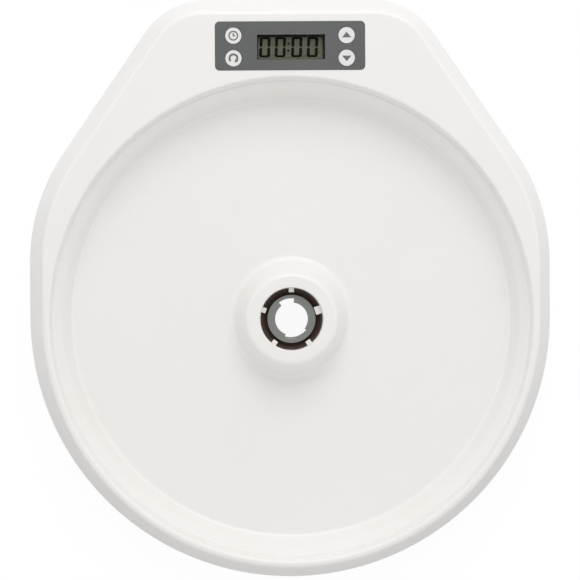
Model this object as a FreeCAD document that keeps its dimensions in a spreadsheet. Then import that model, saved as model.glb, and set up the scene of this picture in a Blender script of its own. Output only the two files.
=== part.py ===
import FreeCAD, Part
import math
import os
import re
import Sketcher
from FreeCAD import Vector

# Drive base of a rotating-meal pet feeder.
# +Z is up, +Y points to the control panel at the rear, +X to the right. The origin is the centre of the
# footprint on the table. Sub-parts are drawn about the hub axis, and their Placement moves them to it.

DOC = FreeCAD.newDocument("rotary_feeder_base")
SIZES = DOC.addObject("Spreadsheet::Sheet", "sizes")
ALIASES = []
NODES = []


# ---------------------------------------------------------------- driving dimensions
def driving(title, rows):
    """Adds a block of driving dimensions to the sheet: a title, then an alias and its value on each line."""
    first = len(ALIASES) + 1
    SIZES.set("A%d" % first, title)
    for count, (alias, size) in enumerate(rows.items()):
        line = first + count
        SIZES.set("B%d" % line, alias)
        SIZES.set("C%d" % line, str(size))
        SIZES.setAlias("C%d" % line, alias)
        ALIASES.append(alias)


driving("Housing outline at the foot", {
    "front_radius": 160,
    "rear_reach": 195,
    "shoulder_reach": 172,
    "shoulder_angle": 34.5,
    "side_corner": 120,
    "rear_corner": 45.6,
    "draft_run": 13,
    "wall": 2.6,
})
driving("Roots of ribs and posts in their walls, and how far a cut runs past a face", {
    "root": 0.4,
    "overshoot": 1,
})
driving("Heights above the table", {
    "skirt_height": 2,
    "rim_height": 52,
    "floor_height": 26,
    "hub_height": 48,
    "floor_wall": 2.4,
    "slanted_wall": 1.6,
    "lip_wall": 1.8,
})
driving("Tray recess and hub, radii", {
    "recess_radius": 144.6,
    "lip_radius": 142.4,
    "lip_depth": 7.2,
    "ledge_width": 0.8,
    "floor_radius": 133.2,
    "hub_foot_radius": 36.5,
    "hub_shoulder_radius": 28,
    "mouth_radius": 18.9,
    "mouth_bottom": 43.9,
    "hub_bore": 18.6,
    "hub_tube_wall": 2.4,
    "hub_tube_end": 21,
})
driving("Edge rounding", {
    "rim_round": 2.3,
    "recess_round": 0.4,
    "floor_round": 4,
    "hub_foot_round": 5,
    "hub_top_round": 3.5,
    "mouth_round": 0.6,
})
driving("Retaining tabs in the hub", {
    "tab_count": 5,
    "tab_width": 3.2,
    "tab_reach": 2.6,
    "tab_height": 41.8,
    "tab_thickness": 1.8,
    "key_width": 4.8,
    "key_reach": 3.8,
    "key_angle": 18,
})
driving("Control panel", {
    "panel_back": 162.3,
    "panel_width": 89,
    "panel_depth": 28.9,
    "panel_corner": 2.7,
    "overlay_thickness": 0.4,
    "seat_depth": 0.5,
    "seat_gap": 0.15,
    "window_across": 0.7,
    "window_back": 161.8,
    "window_width": 40.4,
    "window_depth": 15,
    "button_across": 33.6,
    "button_upper_back": 168.4,
    "button_lower_back": 155.0,
    "button_radius": 4.85,
    "button_gap": 0.25,
    "button_proud": 0.1,
    "button_round": 0.35,
    "flange_gap": 0.3,
    "flange_thickness": 1.1,
    "flange_width": 1.35,
})
driving("Key plungers and switches", {
    "plunger_radius": 1.6,
    "plunger_lift": 1.8,
    "switch_side": 6,
    "switch_height": 3,
    "switch_well_radius": 1.75,
    "switch_well_floor": 1,
})
driving("Display", {
    "glass_width": 46,
    "glass_depth": 20,
    "glass_thickness": 2.8,
    "glass_gap": 0.2,
    "holder_width": 50,
    "holder_depth": 24,
    "holder_height": 4.5,
    "strip_length": 44,
    "strip_width": 2.2,
    "strip_height": 1.6,
    "strip_back": 8.6,
    "pane_margin": 2,
    "pane_corner": 1,
    "pane_thickness": 1.2,
})
driving("Case screws", {
    "screw_circle": 118,
    "screw_first_angle": 30,
    "screw_count": 6,
    "rear_screw_across": 72,
    "rear_screw_back": 158,
    "boss_radius": 4,
    "boss_end": 7.4,
    "screw_radius": 1.45,
    "screw_head_radius": 2.9,
    "screw_head_height": 2,
    "screw_length": 13,
    "pilot_gap": 0.05,
    "through_gap": 0.3,
})
driving("Cross recess in a screw head, as shares of the head's height and radius", {
    "cross_width": 0.5,
    "cross_depth_share": 0.55,
    "cross_length_share": 1.1,
})
driving("Bottom cover", {
    "cover_inset": 3.6,
    "cover_thickness": 2.4,
    "cover_boss_radius": 4.6,
    "cover_boss_top": 7.1,
    "counterbore_radius": 3.3,
    "counterbore_depth": 3,
    "cover_lip_inset": 4.8,
    "cover_lip_wall": 1.6,
    "cover_lip_height": 4,
})
driving("Feet", {
    "foot_radius": 7,
    "foot_height": 3,
    "foot_pocket": 1,
    "foot_gap": 0.15,
    "foot_round": 0.8,
    "front_foot_across": 80,
    "front_foot_back": -112,
    "side_foot_across": 136,
    "side_foot_back": 20,
    "rear_foot_across": 66,
    "rear_foot_back": 176,
})
driving("Turning collar and its sleeve", {
    "sleeve_bore": 12.4,
    "sleeve_radius": 13.6,
    "sleeve_top": 32,
    "thrust_inner": 14.4,
    "thrust_outer": 17.2,
    "thrust_top": 5.4,
    "tube_bore": 13.65,
    "tube_radius": 16.6,
    "tube_bottom": 5.6,
    "tube_flange_radius": 18.2,
    "tube_flange_bottom": 38.6,
    "tube_top": 41.4,
    "key_rib_depth": 1.2,
    "key_rib_width": 4,
    "key_rib_count": 3,
})
driving("Tray socket", {
    "socket_radius": 14.35,
    "socket_seat": 33,
    "socket_top": 42,
    "socket_mouth": 9.8,
    "socket_mouth_depth": 3,
    "socket_gap": 0.05,
    "notch_radius": 12.3,
    "rear_notch_angle": 82,
    "rear_notch_span": 45,
    "front_notch_angle": 249,
    "front_notch_span": 34,
    "lead_in_angle": 283,
    "lead_in_span": 40,
    "lead_in_radius": 11.6,
})
driving("Gear train", {
    "ring_teeth": 84,
    "final_pinion_teeth": 12,
    "final_wheel_teeth": 40,
    "first_pinion_teeth": 10,
    "first_wheel_teeth": 48,
    "motor_pinion_teeth": 10,
    "ring_module": 1,
    "middle_module": 0.7,
    "first_module": 0.6,
    "ring_bottom": 6,
    "ring_thickness": 5,
    "ring_rim": 5,
    "ring_hub": 6,
    "web_depth": 1.5,
    "key_slot_gap": 0.05,
    "train_bottom": 5.8,
    "train_gap": 0.3,
    "final_pinion_height": 6.2,
    "final_wheel_bottom": 12,
    "final_wheel_height": 3,
    "first_pinion_bottom": 11.8,
    "first_pinion_height": 4.2,
    "first_wheel_bottom": 16,
    "first_wheel_height": 2,
    "final_collar": 2.2,
    "first_collar": 2.6,
    "motor_pinion_bottom": 15.8,
    "motor_pinion_height": 2.6,
    "train_angle": -60,
    "axle_radius": 1,
    "axle_clearance": 0.05,
    "axle_seat_radius": 2.6,
    "axle_seat_top": 5.5,
    "axle_bottom": 2.9,
    "axle_top": 22.4,
})
driving("Index vane and light gate", {
    "vane_radius": 30,
    "vane_wall": 1,
    "vane_top": 16.5,
    "window_count": 5,
    "index_window_width": 3,
    "index_window_height": 4,
    "sensor_angle": 50,
    "gate_bottom": 12.6,
    "gate_width": 5,
    "gate_jaw": 2.5,
    "gate_slot": 1,
    "gate_roof_gap": 0.9,
    "gate_board_thickness": 1.6,
    "gate_board_inner": 24.5,
    "gate_board_outer": 39,
    "gate_board_width": 12,
    "gate_lead_radius": 37,
})
driving("Gearbox plate", {
    "plate_bottom": 21,
    "plate_thickness": 1.8,
    "plate_left": 12,
    "plate_right": 92,
    "plate_half_depth": 43,
    "post_left": 32,
    "post_right": 87,
    "post_back": 37,
    "post_radius": 2.6,
    "plate_hub_hole": 23,
    "plate_corner": 6,
    "plate_motor_hole": 8.2,
    "low_head_height": 0.7,
})
driving("Motor", {
    "motor_radius": 12.2,
    "motor_bottom": 4.8,
    "motor_top": 14.6,
    "motor_shaft_radius": 1,
    "motor_shaft_top": 18.6,
    "motor_cup_wall": 1.2,
    "motor_cup_top": 8,
    "motor_gap": 0.1,
    "shaft_gap": 0.05,
    "can_wall": 0.8,
    "can_boss_radius": 3,
    "can_boss_height": 0.8,
    "cap_thickness": 2,
    "cap_inset": 0.3,
    "terminal_inner": 11.4,
    "terminal_length": 2.4,
    "terminal_width": 2,
    "terminal_thickness": 0.5,
    "terminal_lift": 0.4,
    "terminal_across": 2.5,
    "terminal_gap_width": 9,
    "terminal_gap_reach": 3,
})
driving("Battery bay and door", {
    "bay_half_width": 56,
    "bay_front": 126,
    "bay_back": 160.8,
    "bay_roof": 19.6,
    "bay_wall": 1.6,
    "bay_gap": 0.2,
    "ear_across": 61,
    "ear_height": 2.8,
    "ear_width": 7,
    "ear_thickness": 1.6,
    "ear_pilot_depth": 4.2,
    "ear_screw_length": 5,
    "door_gap": 0.4,
    "door_thickness": 2,
    "door_margin": 4,
    "door_rib_spacing": 24,
    "door_rib_width": 1.2,
    "door_rib_height": 0.4,
    "grip_width": 18,
    "grip_spacing": 2,
    "grip_line": 1,
    "grip_depth": 0.6,
    "hinge_back": 128.4,
    "hinge_height": 3.2,
    "hinge_radius": 0.7,
    "hinge_clearance": 0.06,
    "hinge_half_length": 57.6,
    "hinge_end_gap": 0.2,
    "cell_radius": 7.25,
    "cell_length": 49.2,
    "cell_height": 11.95,
    "front_cell_back": 138,
    "rear_cell_back": 152.7,
})
driving("Contacts and leads", {
    "nub_length": 1.3,
    "nub_radius": 2.7,
    "contact_thickness": 0.5,
    "contact_width": 11,
    "contact_height": 12,
    "contact_bottom": 6,
    "bump_radius": 3,
    "bridge_height": 4,
    "spring_wire": 0.4,
    "spring_radius": 3.4,
    "lead_radius": 0.7,
    "cable_radius": 0.9,
    "plug_height": 6,
})
driving("Parts on the control board", {
    "chip_across": 4,
    "chip_back": 163,
    "chip_side": 12,
    "chip_corner": 0.5,
    "chip_height": 1.8,
    "resistor_count": 5,
    "resistor_across": -12,
    "resistor_spacing": 3,
    "resistor_back": 174,
    "resistor_width": 1.4,
    "resistor_length": 2.4,
    "resistor_height": 0.7,
})
driving("Control board", {
    "board_half_width": 52,
    "board_front": 147.5,
    "board_back": 179.5,
    "board_bottom": 42,
    "board_thickness": 1.6,
    "board_post_across": 47,
    "board_post_front": 150.6,
    "board_post_back": 176.2,
    "board_post_radius": 2.6,
    "board_screw_radius": 0.95,
    "board_pilot_overrun": 0.6,
    "small_screw_length": 6,
    "small_head_radius": 1.9,
    "small_head_height": 1.2,
})


def bound(text):
    """The expression with every alias written as a reference to the sheet."""
    return re.sub(r"[a-z][a-z_]+", lambda word: reference(word.group()), str(text))


def reference(word):
    return "sizes." + word if word in ALIASES else word


def size(text):
    """The value of an expression on the sheet, in mm."""
    return float(SIZES.evalExpression(bound(text)))


DOC.recompute()


# ---------------------------------------------------------------- drawing helpers
def bind(thing, prop, text):
    thing.setExpression(prop, bound(text))


def place(thing, across="0", back="0", up="0"):
    """Moves a sub-part from the hub axis, where it is drawn, to its place in the base."""
    bind(thing, "Placement.Base.x", across)
    bind(thing, "Placement.Base.y", "(front_radius - rear_reach) / 2 + " + back)
    bind(thing, "Placement.Base.z", up)


def new_body(label):
    body = DOC.addObject("PartDesign::Body", label)
    body.Label = label
    place(body)
    NODES.append(body)
    return body


def origin_feature(body, role):
    return [part for part in body.Origin.OriginFeatures if part.Role == role][0]


def new_sketch(body, role="XY_Plane", lift="0"):
    sketch = body.newObject("Sketcher::SketchObject", body.Label + "_sketch")
    sketch.AttachmentSupport = [(origin_feature(body, role), "")]
    sketch.MapMode = "FlatFace"
    bind(sketch, "AttachmentOffset.Base.z", lift)
    return sketch


def constrain(sketch, kind, *values):
    return sketch.addConstraint(Sketcher.Constraint(kind, *values))


def dimension(sketch, text, kind, *places):
    """Adds a dimension whose size is an expression on the sheet."""
    value = math.radians(size(text)) if kind == "Angle" else size(text)
    number = constrain(sketch, kind, *places, value)
    bind(sketch, "Constraints[%d]" % number, "(%s) * 1 deg" % text if kind == "Angle" else text)


def draw_polygon(sketch, corners):
    """A closed outline of straight lines through corners, each an (across, up) pair of expressions."""
    points = [Vector(size(across), size(up), 0) for across, up in corners]
    first = sketch.GeometryCount
    count = len(points)
    for number in range(count):
        sketch.addGeometry(Part.LineSegment(points[number], points[(number + 1) % count]), False)
    for number in range(count):
        constrain(sketch, "Coincident", first + number, 2, first + (number + 1) % count, 1)
        dimension(sketch, corners[number][0], "DistanceX", first + number, 1)
        dimension(sketch, corners[number][1], "DistanceY", first + number, 1)


def draw_circle(sketch, radius, across="0", up="0"):
    centre = Vector(size(across), size(up), 0)
    circle = sketch.addGeometry(Part.Circle(centre, Vector(0, 0, 1), size(radius)), False)
    dimension(sketch, radius, "Radius", circle)
    dimension(sketch, across, "DistanceX", circle, 3)
    dimension(sketch, up, "DistanceY", circle, 3)


def feature(body, kind, sketch, **links):
    item = body.newObject("PartDesign::" + kind, body.Label + "_" + kind.lower())
    item.Profile = sketch
    for name, target in links.items():
        setattr(item, name, target)
    return item


def pad(body, sketch, length, downwards=False):
    item = feature(body, "Pad", sketch, Reversed=downwards)
    bind(item, "Length", length)
    return item


def pocket(body, sketch, depth, upwards=False):
    item = feature(body, "Pocket", sketch, Reversed=upwards)
    bind(item, "Length", depth)
    return item


def turned(body, sketch, kind="Revolution"):
    """A full turn of the sketch about the hub axis, which is the sketch's vertical axis."""
    return feature(body, kind, sketch, ReferenceAxis=(sketch, ["V_Axis"]), Angle=360)


def patterned(body, original, count):
    """Copies of a feature, evenly spaced round the hub axis."""
    item = body.newObject("PartDesign::PolarPattern", body.Label + "_pattern")
    item.Originals = [original]
    item.Axis = (origin_feature(body, "Z_Axis"), [""])
    item.Angle = 360
    bind(item, "Occurrences", count)
    body.Tip = item
    return item


def rings_at(shape, radius, height):
    """Names of the circular edges with this radius at this height."""
    names = []
    for number, edge in enumerate(shape.Edges):
        curve = edge.Curve
        if isinstance(curve, Part.Circle) and abs(curve.Radius - radius) < 0.01:
            if abs(curve.Center.z - height) < 0.01 and math.hypot(curve.Center.x, curve.Center.y) < 0.01:
                names.append("Edge%d" % (number + 1))
    return names


def rounded(body, names, radius):
    item = body.newObject("PartDesign::Fillet", body.Label + "_fillet")
    item.Base = (body.Tip if body.Tip != item else item.BaseFeature, names)
    bind(item, "Radius", radius)
    DOC.recompute()
    return item


def housing_outline(sketch, inset):
    """The base's outline moved in by inset: round front, straight flanks, slanted shoulders, flat back."""
    half = size("front_radius - (%s)" % inset)
    back = size("rear_reach - (%s)" % inset)
    reach = size("shoulder_reach - (%s)" % inset)
    side = size("side_corner - (%s)" % inset)
    rear = size("rear_corner - (%s)" % inset)
    slant = math.radians(size("shoulder_angle"))
    along = Vector(-math.sin(slant), math.cos(slant), 0)
    side_vertex = Vector(half, (reach - half * math.cos(slant)) / math.sin(slant), 0)
    rear_vertex = Vector((reach - back * math.sin(slant)) / math.cos(slant), back, 0)
    side_run = side * math.tan(slant / 2)
    rear_run = rear * math.tan((math.pi / 2 - slant) / 2)
    flank_end = side_vertex - Vector(0, side_run, 0)
    shoulder_start = side_vertex + along * side_run
    shoulder_end = rear_vertex - along * rear_run
    back_start = rear_vertex - Vector(rear_run, 0, 0)

    def mirrored(point):
        return Vector(-point.x, point.y, 0)

    def arc(centre, radius, start, end):
        circle = Part.Circle(centre, Vector(0, 0, 1), radius)
        return Part.ArcOfCircle(circle, start, end)

    side_centre = flank_end - Vector(side, 0, 0)
    rear_centre = back_start - Vector(0, rear, 0)
    sketch.addGeometry([
        arc(Vector(0, 0, 0), half, math.pi, 2 * math.pi),
        Part.LineSegment(Vector(half, 0, 0), flank_end),
        arc(side_centre, side, 0, slant),
        Part.LineSegment(shoulder_start, shoulder_end),
        arc(rear_centre, rear, slant, math.pi / 2),
        Part.LineSegment(back_start, mirrored(back_start)),
        arc(mirrored(rear_centre), rear, math.pi / 2, math.pi - slant),
        Part.LineSegment(mirrored(shoulder_end), mirrored(shoulder_start)),
        arc(mirrored(side_centre), side, math.pi - slant, math.pi),
        Part.LineSegment(mirrored(flank_end), Vector(-half, 0, 0)),
    ], False)
    for number in range(10):
        constrain(sketch, "Tangent", number, 2, (number + 1) % 10, 1)
    constrain(sketch, "Coincident", 0, 3, -1, 1)
    constrain(sketch, "Vertical", 1)
    constrain(sketch, "Vertical", 9)
    constrain(sketch, "Horizontal", 5)
    constrain(sketch, "Symmetric", 3, 1, 7, 2, -2)
    constrain(sketch, "Symmetric", 3, 2, 7, 1, -2)
    dimension(sketch, "front_radius - (%s)" % inset, "Radius", 0)
    dimension(sketch, "side_corner - (%s)" % inset, "Radius", 2)
    dimension(sketch, "rear_corner - (%s)" % inset, "Radius", 4)
    dimension(sketch, "rear_reach - (%s)" % inset, "DistanceY", 5, 1)
    dimension(sketch, "shoulder_reach - (%s)" % inset, "Distance", -1, 1, 3)
    dimension(sketch, "90 + shoulder_angle", "Angle", 3)


def draw_rounded_box(sketch, across, back, width, depth, corner):
    """A rectangle with round corners, centred on (across, back)."""
    middle = Vector(size(across), size(back), 0)
    half_width, half_depth, radius = size(width) / 2, size(depth) / 2, size(corner)
    first = sketch.GeometryCount
    arcs = []
    for side, end, start in ((1, -1, 270), (1, 1, 0), (-1, 1, 90), (-1, -1, 180)):
        centre = middle + Vector(side * (half_width - radius), end * (half_depth - radius), 0)
        circle = Part.Circle(centre, Vector(0, 0, 1), radius)
        arcs.append(Part.ArcOfCircle(circle, math.radians(start), math.radians(start + 90)))
    for number, arc in enumerate(arcs):
        sketch.addGeometry(arc, False)
        sketch.addGeometry(Part.LineSegment(arc.EndPoint, arcs[(number + 1) % 4].StartPoint), False)
    for number in range(8):
        constrain(sketch, "Tangent", first + number, 2, first + (number + 1) % 8, 1)
    for number in (1, 5):
        constrain(sketch, "Vertical", first + number)
    for number in (3, 7):
        constrain(sketch, "Horizontal", first + number)
    for number in (0, 2, 4):
        dimension(sketch, corner, "Radius", first + number)
    dimension(sketch, "%s + (%s) / 2" % (across, width), "DistanceX", first + 1, 1)
    dimension(sketch, "%s - (%s) / 2" % (across, width), "DistanceX", first + 5, 1)
    dimension(sketch, "%s + (%s) / 2" % (back, depth), "DistanceY", first + 3, 1)
    dimension(sketch, "%s - (%s) / 2" % (back, depth), "DistanceY", first + 7, 1)


def draw_box(sketch, left, front, right, back):
    draw_polygon(sketch, [(left, front), (right, front), (right, back), (left, back)])


def turn_sketch(sketch, angle, axis=Vector(0, 0, 1)):
    """Turns a sketch about the hub axis; axis is that axis in the sketch's own frame."""
    sketch.AttachmentOffset = FreeCAD.Placement(sketch.AttachmentOffset.Base, FreeCAD.Rotation(axis, 1))
    bind(sketch, "AttachmentOffset.Rotation.Angle", angle)


# ---------------------------------------------------------------- primitives for the plainer pieces
def locate(item, spot):
    for axis, text in zip("xyz", spot):
        bind(item, "Placement.Base." + axis, text)
    return item


def box(label, lengths, corner):
    item = DOC.addObject("Part::Box", label)
    for prop, text in zip(("Length", "Width", "Height"), lengths):
        bind(item, prop, text)
    return locate(item, corner)


def centred_box(label, across, back, bottom, width, depth, height):
    corner = ("%s - (%s) / 2" % (across, width), "%s - (%s) / 2" % (back, depth), bottom)
    return box(label, (width, depth, height), corner)


def cylinder(label, radius, height, base):
    item = DOC.addObject("Part::Cylinder", label)
    bind(item, "Radius", radius)
    bind(item, "Height", height)
    return locate(item, base)


def lying_cylinder(label, radius, length, base):
    """A cylinder along +X from its base."""
    item = cylinder(label, radius, length, base)
    item.Placement = FreeCAD.Placement(item.Placement.Base, FreeCAD.Rotation(Vector(0, 1, 0), 90))
    return locate(item, base)


def joined(label, pieces):
    item = DOC.addObject("Part::MultiFuse", label)
    item.Shapes = pieces
    return item


def trimmed(label, base, tool):
    item = DOC.addObject("Part::Cut", label)
    item.Base = base
    item.Tool = tool
    return item


def gathered(label, pieces):
    """Identical pieces, such as screws, kept in one node as separate solids."""
    item = DOC.addObject("Part::Compound", label)
    item.Links = pieces
    return item


def node(item, label, spot=("0", "0")):
    """Makes item a sub-part of its own: it gets its label and its Placement."""
    item.Label = label
    place(item, *spot)
    NODES.append(item)
    return item


def shaped(label, shape, spot=("0", "0")):
    """A sub-part built with Part's functions about its own axis, such as a gear with involute teeth."""
    item = DOC.addObject("Part::Feature", label)
    item.Shape = shape
    return node(item, label, spot)


# ---------------------------------------------------------------- upper housing
WALL_SLOPE = "draft_run / (rim_height - skirt_height)"
PLATE_UNDERSIDE = "rim_height - floor_wall"
FLOOR_UNDERSIDE = "floor_height - floor_wall"
BOARD_TOP = "board_bottom + board_thickness"
COVER_TOP = "skirt_height + cover_thickness"
PLUG_BOTTOM = "board_bottom - plug_height"
PILOT = "screw_radius + pilot_gap"
SMALL_PILOT = "board_screw_radius + pilot_gap"
BUTTONS = {
    "clock": ("-button_across", "button_upper_back"),
    "turn": ("-button_across", "button_lower_back"),
    "up": ("button_across", "button_upper_back"),
    "down": ("button_across", "button_lower_back"),
}


def bowl_profile():
    """Half section of the recess and the hub: along the top from the rim to the mouth, and back below."""
    return [
        ("recess_radius", "rim_height"),
        ("lip_radius", "rim_height - lip_depth"),
        ("lip_radius - ledge_width", "rim_height - lip_depth"),
        ("floor_radius", "floor_height"),
        ("hub_foot_radius", "floor_height"),
        ("hub_shoulder_radius", "hub_height"),
        ("mouth_radius", "hub_height"),
        ("mouth_radius", "mouth_bottom"),
        ("hub_bore", "mouth_bottom"),
        ("hub_bore", "hub_tube_end"),
        ("hub_bore + hub_tube_wall", "hub_tube_end"),
        ("hub_bore + hub_tube_wall", "hub_height - floor_wall"),
        ("hub_shoulder_radius - slanted_wall", "hub_height - floor_wall"),
        ("hub_foot_radius - slanted_wall", FLOOR_UNDERSIDE),
        ("floor_radius + slanted_wall", FLOOR_UNDERSIDE),
        ("lip_radius + lip_wall", "rim_height - lip_depth"),
        ("recess_radius + lip_wall", PLATE_UNDERSIDE),
        ("recess_radius + lip_wall", "rim_height"),
    ]


def rim_edges(shape):
    """Names of the edges of the outer outline at rim height."""
    names = []
    for number, edge in enumerate(shape.Edges):
        level = max(abs(vertex.Z - size("rim_height")) for vertex in edge.Vertexes) < 0.01
        if level and not is_ring(edge, size("recess_radius")):
            names.append("Edge%d" % (number + 1))
    return names


def is_ring(edge, radius):
    return isinstance(edge.Curve, Part.Circle) and abs(edge.Curve.Radius - radius) < 0.01


def button_circles(sketch, radius):
    for across, back in BUTTONS.values():
        draw_circle(sketch, radius, across, back)


def display_window(sketch):
    draw_box(
        sketch, "window_across - window_width / 2", "window_back - window_depth / 2",
        "window_across + window_width / 2", "window_back + window_depth / 2")


def board_post_spots():
    return [(side + "board_post_across", back) for side in ("", "-")
            for back in ("board_post_front", "board_post_back")]


def upper_housing():
    """White moulded shell: drafted skirt, flat plateau, round recess, conical hub and the panel's seat."""
    body = new_body("upper_housing")
    foot = new_sketch(body, lift="skirt_height")
    housing_outline(foot, "0")
    rim = new_sketch(body, lift="rim_height")
    housing_outline(rim, "draft_run")
    feature(body, "AdditiveLoft", foot, Sections=[rim], Ruled=True)
    inner_foot = new_sketch(body, lift="skirt_height")
    housing_outline(inner_foot, "wall")
    inner_rim = new_sketch(body, lift=PLATE_UNDERSIDE)
    housing_outline(inner_rim, "wall + draft_run - floor_wall * " + WALL_SLOPE)
    feature(body, "SubtractiveLoft", inner_foot, Sections=[inner_rim], Ruled=True)
    opening = new_sketch(body, lift="rim_height")
    draw_circle(opening, "recess_radius + lip_wall / 2")
    pocket(body, opening, "floor_wall + overshoot")
    skin = new_sketch(body, "XZ_Plane")
    draw_polygon(skin, bowl_profile())
    turned(body, skin)
    DOC.recompute()
    rounded(body, rim_edges(body.Shape), "rim_round")
    for radius, height, amount in (
            ("recess_radius", "rim_height", "recess_round"),
            ("floor_radius", "floor_height", "floor_round"),
            ("hub_foot_radius", "floor_height", "hub_foot_round"),
            ("hub_shoulder_radius", "hub_height", "hub_top_round"),
            ("mouth_radius", "hub_height", "mouth_round")):
        rounded(body, rings_at(body.Tip.Shape, size(radius), size(height)), amount)
    seat = new_sketch(body, lift="rim_height")
    draw_rounded_box(seat, "0", "panel_back", "panel_width + 2 * seat_gap", "panel_depth + 2 * seat_gap",
                     "panel_corner + seat_gap")
    pocket(body, seat, "seat_depth")
    holes = new_sketch(body, lift="rim_height")
    display_window(holes)
    button_circles(holes, "button_radius + button_gap")
    pocket(body, holes, "floor_wall + overshoot")
    screw_bosses(body)
    board_posts(body)
    retaining_tabs(body)
    return body


def screw_bosses(body):
    """Six bosses under the floor and two under the rear corners, each with a pilot hole for a case screw."""
    boss = new_sketch(body, lift="boss_end")
    draw_circle(boss, "boss_radius", "screw_circle")
    turn_sketch(boss, "screw_first_angle")
    floor_boss = pad(body, boss, FLOOR_UNDERSIDE + " + root - boss_end")
    patterned(body, floor_boss, "screw_count")
    corner = new_sketch(body, lift="boss_end")
    draw_circle(corner, "boss_radius", "rear_screw_across", "rear_screw_back")
    draw_circle(corner, "boss_radius", "-rear_screw_across", "rear_screw_back")
    pad(body, corner, PLATE_UNDERSIDE + " + root - boss_end")
    pilot = new_sketch(body, lift="boss_end")
    draw_circle(pilot, PILOT, "screw_circle")
    turn_sketch(pilot, "screw_first_angle")
    floor_pilot = pocket(body, pilot, "screw_length", upwards=True)
    patterned(body, floor_pilot, "screw_count")
    corner_pilot = new_sketch(body, lift="boss_end")
    draw_circle(corner_pilot, PILOT, "rear_screw_across", "rear_screw_back")
    draw_circle(corner_pilot, PILOT, "-rear_screw_across", "rear_screw_back")
    pocket(body, corner_pilot, "screw_length", upwards=True)


def board_posts(body):
    """Four posts under the plateau that carry the control board."""
    posts = new_sketch(body, lift=BOARD_TOP)
    for across, back in board_post_spots():
        draw_circle(posts, "board_post_radius", across, back)
    pad(body, posts, PLATE_UNDERSIDE + " + root - (%s)" % BOARD_TOP)
    pilots = new_sketch(body, lift=BOARD_TOP)
    for across, back in board_post_spots():
        draw_circle(pilots, SMALL_PILOT, across, back)
    pocket(body, pilots, "small_screw_length - board_thickness + board_pilot_overrun", upwards=True)


def retaining_tabs(body):
    """Tabs inside the hub's mouth that hold the turning collar down, and one wider key tab."""
    tab = new_sketch(body, lift="tab_height")
    draw_box(tab, "-tab_width / 2", "hub_bore - tab_reach", "tab_width / 2", "hub_bore + overshoot")
    first_tab = pad(body, tab, "tab_thickness")
    patterned(body, first_tab, "tab_count")
    key = new_sketch(body, lift="tab_height")
    draw_box(key, "hub_bore - key_reach", "-key_width / 2", "hub_bore + overshoot", "key_width / 2")
    turn_sketch(key, "key_angle")
    pad(body, key, "tab_thickness")


# ---------------------------------------------------------------- bottom cover
TRAIN = {
    "final": ("ring_module * (ring_teeth + final_pinion_teeth) / 2", "0"),
}
TRAIN["first"] = (TRAIN["final"][0] + " + middle_module * (final_wheel_teeth + first_pinion_teeth) / 2", "0")
FIRST_REACH = "first_module * (first_wheel_teeth + motor_pinion_teeth) / 2"
TRAIN["motor"] = (
    TRAIN["first"][0] + " + %s * cos(train_angle * 1 deg)" % FIRST_REACH,
    "%s * sin(train_angle * 1 deg)" % FIRST_REACH)
AXLES = [TRAIN["final"], TRAIN["first"]]
POSTS = [(across, back) for across in ("post_left", "post_right") for back in ("-post_back", "post_back")]
FEET = [(side + name + "_foot_across", name + "_foot_back") for name in ("front", "side", "rear")
        for side in ("", "-")]
BAY_MIDDLE = "(bay_front + bay_back) / 2"
BAY_SCREWS = [("ear_across", BAY_MIDDLE), ("-ear_across", BAY_MIDDLE)]


def bottom_cover():
    """Flat cover that closes the base. Its sleeve is the bearing that the drive tube turns on."""
    body = new_body("bottom_cover")
    plate = new_sketch(body, lift="skirt_height")
    housing_outline(plate, "cover_inset")
    pad(body, plate, "cover_thickness")
    lip = new_sketch(body, lift="skirt_height + cover_thickness - root")
    housing_outline(lip, "cover_lip_inset")
    pad(body, lip, "cover_lip_height + root")
    inner_lip = new_sketch(body, lift="skirt_height + cover_thickness + cover_lip_height")
    housing_outline(inner_lip, "cover_lip_inset + cover_lip_wall")
    pocket(body, inner_lip, "cover_lip_height")
    hole = new_sketch(body, lift="skirt_height")
    draw_circle(hole, "sleeve_bore")
    pocket(body, hole, "cover_thickness + overshoot", upwards=True)
    sleeve = new_sketch(body, "XZ_Plane")
    draw_polygon(sleeve, [
        ("sleeve_bore", "skirt_height"),
        ("thrust_outer", "skirt_height"),
        ("thrust_outer", "thrust_top"),
        ("thrust_inner", "thrust_top"),
        ("thrust_inner", COVER_TOP),
        ("sleeve_radius", COVER_TOP),
        ("sleeve_radius", "sleeve_top"),
        ("sleeve_bore", "sleeve_top"),
    ])
    turned(body, sleeve)
    bosses = new_sketch(body, lift="skirt_height + root")
    draw_circle(bosses, "cover_boss_radius", "screw_circle")
    turn_sketch(bosses, "screw_first_angle")
    patterned(body, pad(body, bosses, "cover_boss_top - skirt_height - root"), "screw_count")
    corner = new_sketch(body, lift="skirt_height + root")
    for side in ("", "-"):
        draw_circle(corner, "cover_boss_radius", side + "rear_screw_across", "rear_screw_back")
    pad(body, corner, "cover_boss_top - skirt_height - root")
    for radius, depth in (
            ("counterbore_radius", "counterbore_depth"),
            ("screw_radius + through_gap", "cover_boss_top")):
        ring_hole = new_sketch(body, lift="skirt_height")
        draw_circle(ring_hole, radius, "screw_circle")
        turn_sketch(ring_hole, "screw_first_angle")
        patterned(body, pocket(body, ring_hole, depth, upwards=True), "screw_count")
        corner_hole = new_sketch(body, lift="skirt_height")
        for side in ("", "-"):
            draw_circle(corner_hole, radius, side + "rear_screw_across", "rear_screw_back")
        pocket(body, corner_hole, depth, upwards=True)
    gearbox_seats(body)
    battery_opening(body)
    feet = new_sketch(body, lift="skirt_height")
    for across, back in FEET:
        draw_circle(feet, "foot_radius + foot_gap", across, back)
    pocket(body, feet, "foot_pocket", upwards=True)
    return body


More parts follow.
